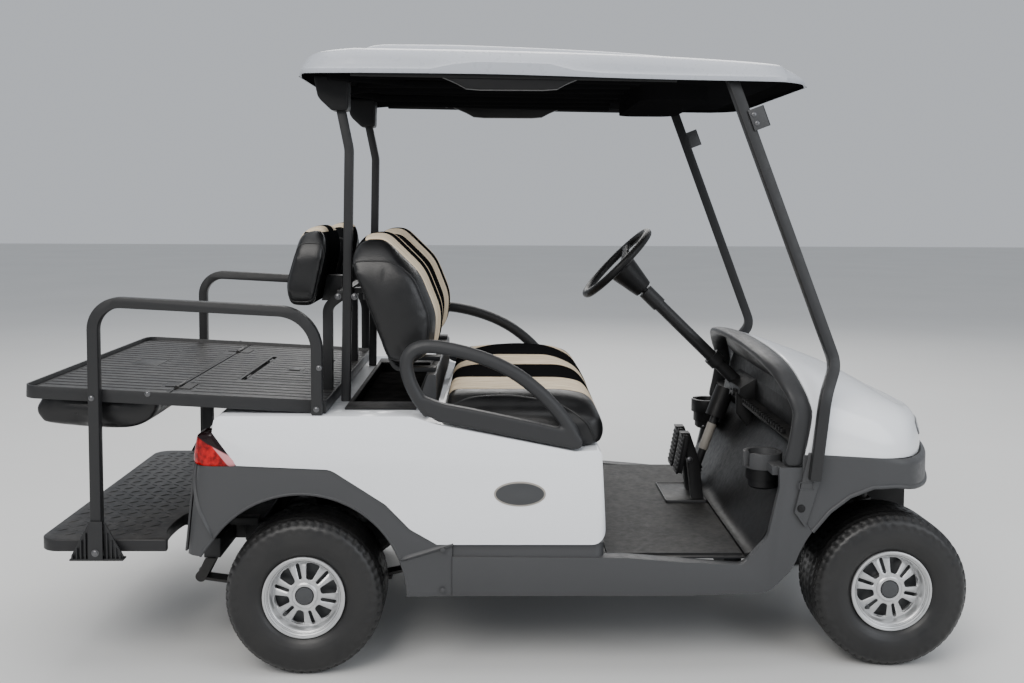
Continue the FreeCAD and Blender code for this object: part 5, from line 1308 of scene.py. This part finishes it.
def make_deck():
    """Body under the bed, its tray and the rubber mat round the storage."""
    well = softened("bag_well", 0.002)
    # the bag well in black with no reflection: its own black plus painted shade in the recess
    well.data.materials[0] = M["black_with_painted_shade"]
    body = softened("rear_body", 0.006)
    # cuts where the painted shade behind the tail lamps begins and ends
    with edited(body.data) as bm:
        for x, z, way in ((0, LAMP_SHADE_TOP, (0, 0, 1)), (0, LAMP_SHADE_FOOT, (0, 0, 1)), (LAMP_SHADE_X, 0, (1, 0, 0))):
            bmesh.ops.bisect_plane(bm, geom=bm.verts[:] + bm.edges[:] + bm.faces[:], dist=1e-6, plane_co=(x, 0, z),
                                   plane_no=way)
    body.data.materials.append(M["trim_grey"])
    body.data.materials.append(M["black_plastic"])
    for face in body.data.polygons:
        c = face.center
        # painted shade: the body's corner behind each tail lamp gets black plastic, index 2
        if c.x < LAMP_SHADE_X and LAMP_SHADE_FOOT < c.z < LAMP_SHADE_TOP and abs(c.y) > 0.53:
            face.material_index = 2
        elif ra(304) < c.x < ra(364) and c.z > 0.7365 and abs(c.y) < 0.458:
            face.material_index = 1
    x0, x1, x2, x3 = (ra(x) * 1000 for x in (105, 117, 297, 308))
    frame_bars = [rectangle(x0, x3, 395, 497), rectangle(x0, x3, -497, -395), rectangle(x0, x1, -395, 395),
                  rectangle(x2, x3, -395, 395)]
    prisms("deck_mat", [(bar, 735.2, 741, FLAT) for bar in frame_bars], "chassis", "mat_rubber", 0.0015)


def make_plates():
    """Bare oval plates on both sides of the body."""
    rim, face = [], []
    x, z = ra(601) * 1000, 519
    for side in (-1, 1):
        for shapes, a, b, rise in ((rim, 72, 35, 1.6), (face, 67, 30.5, 2.4)):
            outline = [(x + a * math.cos(t), z + b * math.sin(t)) for t in full_turn(64)]
            shapes.append((outline, *span(side, 591.5, 592 + rise), UPRIGHT))
    prisms("plate_rims", rim, "chassis", "pale_edge", 0.0004, slot="trim_grey")
    prisms("plate_faces", face, "chassis", "cap_dark", 0.0006, slot="black_plastic")


def make_side_trim():
    """Bolts on sills and strut covers, and the covers' bare badge frames."""
    for name, side in SIDES:
        for i, z in enumerate((0.362, 0.249)):
            bolt("sill_bolt_%s_%d" % (name, i), (ra(388), side * 0.5965, z), (0, side, 0), 0.0055, 0.0034, "chassis",
                 "trim_grey")
        bolt("cover_bolt_" + name, (ra(1389), side * 0.569, 0.472), (0, side, 0), 0.0085, 0.004, "chassis",
             "black_plastic")
    x, z = ra(1402) * 1000, 536
    bars = ((-21, 21, 8, 11), (-21, 21, -11, -8), (-21, -18, -11, 11), (18, 21, -11, 11))
    shapes = [(rounded(x + x0, x + x1, z + z0, z + z1, 1.4), *span(side, 568.6, 570.4), UPRIGHT)
              for side in (-1, 1) for x0, x1, z0, z1 in bars]
    prisms("cover_frames", shapes, "chassis", "trim_grey", 0.0004)


def make_lamps():
    """Tail lamps melted into one lens each, and head lamps laid on the hood."""
    lamps = melted("tail_lights", 0.0036, 9, 0.006)
    for vert in lamps.data.vertices:
        rear = step_up(-vert.co.x, -ra(-258), -ra(-300))
        vert.co.z += 0.020 * rear * max(0, (vert.co.z - 0.60) / 0.09)
        vert.co.x += 0.008 * step_up(vert.co.x, ra(-262), ra(-215)) * max(0, 1 - (vert.co.z - 0.592) / 0.09)
    tree = BVHTree.FromObject(bpy.data.objects["hood"], bpy.context.evaluated_depsgraph_get())
    # nearest and farthest Y, lowest and highest Z, height above the hood and material
    grids = {"head_lens": (0.235, 0.395, 0.646, 0.683, 0.0035, "lamp_clear"),
             "lamp_bezel": (0.225, 0.405, 0.640, 0.688, 0.0018, "cap_dark")}
    across, up = 26, 8
    for name, (y0, y1, z0, z1, rise, material) in grids.items():
        for place, side in SIDES:
            rows = []
            for j in range(up + 1):
                row = []
                for i in range(across + 1):
                    s, t = i / across * 2 - 1, j / up * 2 - 1
                    wide = math.sqrt(1 - 0.30 * t * t)
                    y = side * ((y0 + y1) / 2 + s * wide * (y1 - y0) / 2)
                    z = (z0 + z1) / 2 + t * math.sqrt(1 - 0.35 * s * s) * (z1 - z0) / 2
                    hit, normal, index, distance = tree.ray_cast(Vector((2.0, y, z)), Vector((-1, 0, 0)))
                    row.append(hit + normal * rise)
                rows.append(row)
            piece = panel("%s_%s" % (name, place), rows, 0.003, "chassis", material, 0.001, (0.8, 0, 0.6), "lamp_clear")
            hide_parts("head_lamps")


def make_strut_clips():
    """Channel clips with two bolts near the top of the front roof struts."""
    shapes = []
    lean = math.atan2(308, 808)
    for name, side in SIDES:
        place = Matrix.Translation((ra(1262), side * 0.516, 1.561)) @ Matrix.Rotation(-lean, 4, "Y")
        for low, high, x0, x1 in ((-13, -10, -24, 22), (10, 13, -24, 22), (-13, 13, 19, 22)):
            shapes.append((rectangle(x0, x1, low, high), -30, 30, place))
        for i, z in enumerate((-0.012, 0.014)):
            spot = place @ Vector((-0.012, side * 0.013, z))
            bolt("clip_bolt_%s_%d" % (name, i), spot, (0, side, 0), 0.0055, 0.004, "chassis")
    prisms("strut_clips", shapes, "chassis", "trim_grey", 0.0008)
    for name, side in SIDES:
        for i, x in enumerate((70, 118)):
            bolt("back_bolt_%s_%d" % (name, i), (ra(x), side * 0.3695, 1.046), (0, side, 0), 0.007, 0.006, "chassis")


def make_cups():
    """Cup holders with rounded feet."""
    holders = softened("cup_holders", 0.002)
    holders.data.materials.append(M["trim_grey"])
    for face in holders.data.polygons:
        if face.center.y < 0 and face.center.z > 0.5585:
            face.material_index = 1
    for name, side in SIDES:
        x, y = fa(-352), side * 0.430
        lathe("cup_foot_" + name, [(0.043, 0.0), (0.042, -0.020), (0.036, -0.026), (0.016, -0.028)], (x, y, 0.5248),
              (0, 0, 1), "chassis", "black_plastic", 48)
        bolt("cup_screw_" + name, (x - 0.020, y - side * 0.0425, 0.508), (-0.4, -side, 0), 0.004, 0.003, "chassis")


def make_dash_details():
    """Console plate, key switch, knobs, the bin's ribbed edge and the lower steering shaft."""
    plate = rear_mm([(1350, 684), (1411, 632), (1405, 545), (1350, 612)])
    prisms("console_plate", [(plate, 108, 120, UPRIGHT)], "chassis", "black_plastic", 0.004, segments=3)
    inset = rear_mm([(1357, 668), (1403, 628), (1399, 562), (1357, 613)])
    prisms("console_inset", [(inset, 106.4, 109, UPRIGHT)], "chassis", "mat_rubber", 0.001)
    knob = [(0.014, -0.004), (0.014, 0.004), (0.0115, 0.006), (0.0105, 0.012), (0.004, 0.0125)]
    for i, (y, z, material) in enumerate(((0.165, 0.672, "black_plastic"), (0.205, 0.668, "bolt_steel"))):
        lathe("dash_switch_%d" % i, knob, (ra(1361), y, z), (-0.98, 0, 0.15), "chassis", material, 32,
              "black_plastic")
    ribs = [(rectangle(fa(-299) * 1000, fa(-286) * 1000, y, y + 5), 655, 668, FLAT) for y in range(-430, 105, 30)]
    prisms("bin_ribs", ribs, "chassis", "black_plastic", 0.001)
    tubes = (("column_shroud", ((1352, 0.29, 0.668), (1330, 0.285, 0.612), (1312, 0.28, 0.566)), 0.034, 24,
              "black_plastic", None),
             ("lower_shaft", ((1322, 0.283, 0.590), (1262, 0.268, 0.430), (1232, 0.26, 0.350)), 0.014, 20,
              "painted_tube", None),
             ("shaft_sleeve", ((1304, 0.2785, 0.542), (1270, 0.270, 0.452)), 0.0165, 24, "pale_edge", "painted_tube"))
    for name, places, radius, steps, material, slot in tubes:
        mesh = tube_mesh(name, [(ra(x), y, z) for x, y, z in places], radius, steps)
        to_piece(name, mesh, "chassis", material, slot, 50)
    boot = [(0.030, 0.0), (0.034, 0.006)]
    for k in range(5):
        boot += [(0.030 - 0.002 * k, 0.012 + 0.012 * k), (0.024 - 0.002 * k, 0.018 + 0.012 * k)]
    lathe("shaft_boot", boot, (ra(1228), 0.259, 0.338), (0.06, 0.02, 0.16), "chassis", "black_plastic", 32)


def make_pedal_pads():
    """Ribbed pads, levers' springs and the frame in the floor."""
    softened("pedals", 0.0035)
    pads, ribs = [], []
    way = Vector((24, 0, 126)).normalized()
    out = Vector((-way.z, 0, way.x))
    for y in (25, 135):
        origin = Vector((ra(1146), (y - 20) / 1000, 0.424)) + out * 0.0066
        place = Matrix(((0, way.x, out.x, origin.x), (1, 0, 0, origin.y), (0, way.z, out.z, origin.z), (0, 0, 0, 1)))
        pads.append((rounded(0, 80, -2, 132, 12), 0, 7, place))
        ribs += [(rounded(8, 72, v, v + 7, 3, 3), 6.6, 10, place) for v in range(10, 118, 14)]
        lever = Vector((ra(1196), (y + 20) / 1000, 0.352))
        coil = [lever + Vector((0.004 * a / 37.7, 0.013 * math.cos(a), 0.013 * math.sin(a) + 0.075 * a / 37.7))
                for a in (k * 0.35 for k in range(108))]
        to_piece("pedal_spring_%d" % y, tube_mesh("coil", coil, 0.0022, 6), "chassis", "bolt_steel", "steel_dark", 60)
        bolt("pedal_bolt_%d" % y, (ra(1180), (y - 1) / 1000, 0.470), (0, -1, 0), 0.008, 0.005, "chassis")
    prisms("pedal_pads", pads, "chassis", "black_plastic", 0.003, segments=3)
    prisms("pedal_ribs", ribs, "chassis", "mat_rubber", 0.0012, slot="black_plastic")
    x0, x1 = ra(1098) * 1000, ra(1234) * 1000
    frame_bars = [rectangle(x0, x1, -4, 0), rectangle(x0, x1, 230, 234), rectangle(x0, x0 + 4, -4, 234),
                  rectangle(x1 - 4, x1, -4, 234)]
    prisms("pedal_frame", [(b, 333, 341, FLAT) for b in frame_bars], "chassis", "trim_grey", 0.0008)


def make_shackles():
    """Bolts at the springs' ends."""
    for name, side in SIDES:
        ends = [v.co for v in NODES["leaf_springs"].data.vertices if v.co.y * side > 0]
        for i, (pick, inward) in enumerate(((min, 0.012), (max, -0.012))):
            end = pick(ends, key=lambda c: c.x)
            spot = (end.x + inward, side * (abs(end.y) + 0.001), end.z)
            bolt("spring_bolt_%s_%d" % (name, i), spot, (0, side, 0), 0.011, 0.008, "chassis")


# Camera, light and floor

def make_camera():
    """The photograph's viewpoint."""
    camera = linked("camera", bpy.data.cameras.new("camera"))
    bpy.context.scene.camera = camera
    camera.data.sensor_width = 36.0
    camera.data.lens = 38.84
    camera.data.shift_y = -0.0695
    camera.location = (-0.0204, -3.6022, 1.3254)
    yaw, pitch, roll = (math.radians(a) for a in (0.83, 3.55, 0.26))
    forward = Vector((math.sin(yaw), math.cos(yaw), 0))
    right = Vector((math.cos(yaw), -math.sin(yaw), 0))
    ahead = forward * math.cos(pitch) - Z_AXIS * math.sin(pitch)
    top = Z_AXIS * math.cos(pitch) + forward * math.sin(pitch)
    side = right * math.cos(roll) + top * math.sin(roll)
    top = top * math.cos(roll) - right * math.sin(roll)
    camera.rotation_euler = Matrix((side, top, -ahead)).transposed().to_euler()
    camera.data.clip_end = 100


def make_stage():
    """Floor, sky and four area lamps."""
    floor = bpy.data.meshes.new("floor")
    floor.from_pydata([(x, y, 0) for x, y in rectangle(-30, 30, -30, 30)], [], [(0, 1, 2, 3)])
    ground = linked("floor", floor)
    n = Nodes("floor")
    tone = n.mix(n.noise(0.7, 4.0), rgb(0.62, 0.62, 0.61), rgb(0.70, 0.70, 0.69))
    n.set(Base_Color=tone, Roughness=0.85)
    floor.materials.append(n.material)
    world = bpy.data.worlds.new("world")
    bpy.context.scene.world = world
    world.use_nodes = True
    sky = world.node_tree.nodes["Background"]
    sky.inputs["Color"].default_value = rgb(0.86, 0.90, 0.96)
    sky.inputs["Strength"].default_value = 0.62
    # name, place, size, power, colour
    lamps = (
        ("key", (-2.5, -5.5, 5.5), 4.5, 420, (1.0, 0.97, 0.93)),
        ("fill", (4.5, -4.0, 3.0), 4.0, 130, (0.93, 0.96, 1.0)),
        ("back", (0.5, 5.5, 5.0), 5.0, 260, (1.0, 0.98, 0.95)),
        ("top", (0.0, 0.0, 6.5), 5.0, 150, (1.0, 1.0, 1.0)),
    )
    for name, place, size, power, colour in lamps:
        light = bpy.data.lights.new(name, "AREA")
        light.size, light.energy, light.color = size, power, colour
        lamp = linked(name, light)
        lamp.location = place
        lamp.rotation_euler = (Vector((0, 0, 0.7)) - Vector(place)).to_track_quat("-Z", "Y").to_euler()


make_camera()
make_stage()

for node, thing in NODES.items():
    thing.data.materials.clear()
    thing.data.materials.append(M[SLOT_OF[node]])

make_nose()
make_brow()
make_roof()
make_liner()
make_bench()
make_backs()
make_flip_pad()
make_ribs()
make_footplate()
for corner in HUBS:
    make_tyre(corner)
    make_wheel(corner)
make_armrests()
make_rear_fenders()
make_deck()
make_rails()
make_plates()
make_side_trim()
make_lamps()
make_strut_clips()
make_cups()
make_dash_details()
make_pedal_pads()
make_shackles()
melted("steering_wheel", 0.004, 4)
melted("strut_shrouds", 0.004, 5)

# Solids kept in shape, with their edges rounded: node and width of the rounding in millimetres
SOFTENED = (
    ("frame", 3), ("bed_frame", 1.5), ("front_struts", 3.5), ("rear_struts", 3),
    ("seat_back_frame", 2), ("step_supports", 2), ("sills", 5),
    ("storage_tub", 1.5), ("dash_panel", 2), ("strut_covers", 1.5),
    ("toe_board", 3), ("front_underbody", 3), ("steering_gear", 4),
    ("battery_pack", 8), ("front_axle", 2.5), ("floor_pan", 1),
    ("knuckle_left", 2), ("knuckle_right", 2), ("rear_axle", 3), ("drive_motor", 5),
)
for node, width in SOFTENED:
    softened(node, width / 1000)
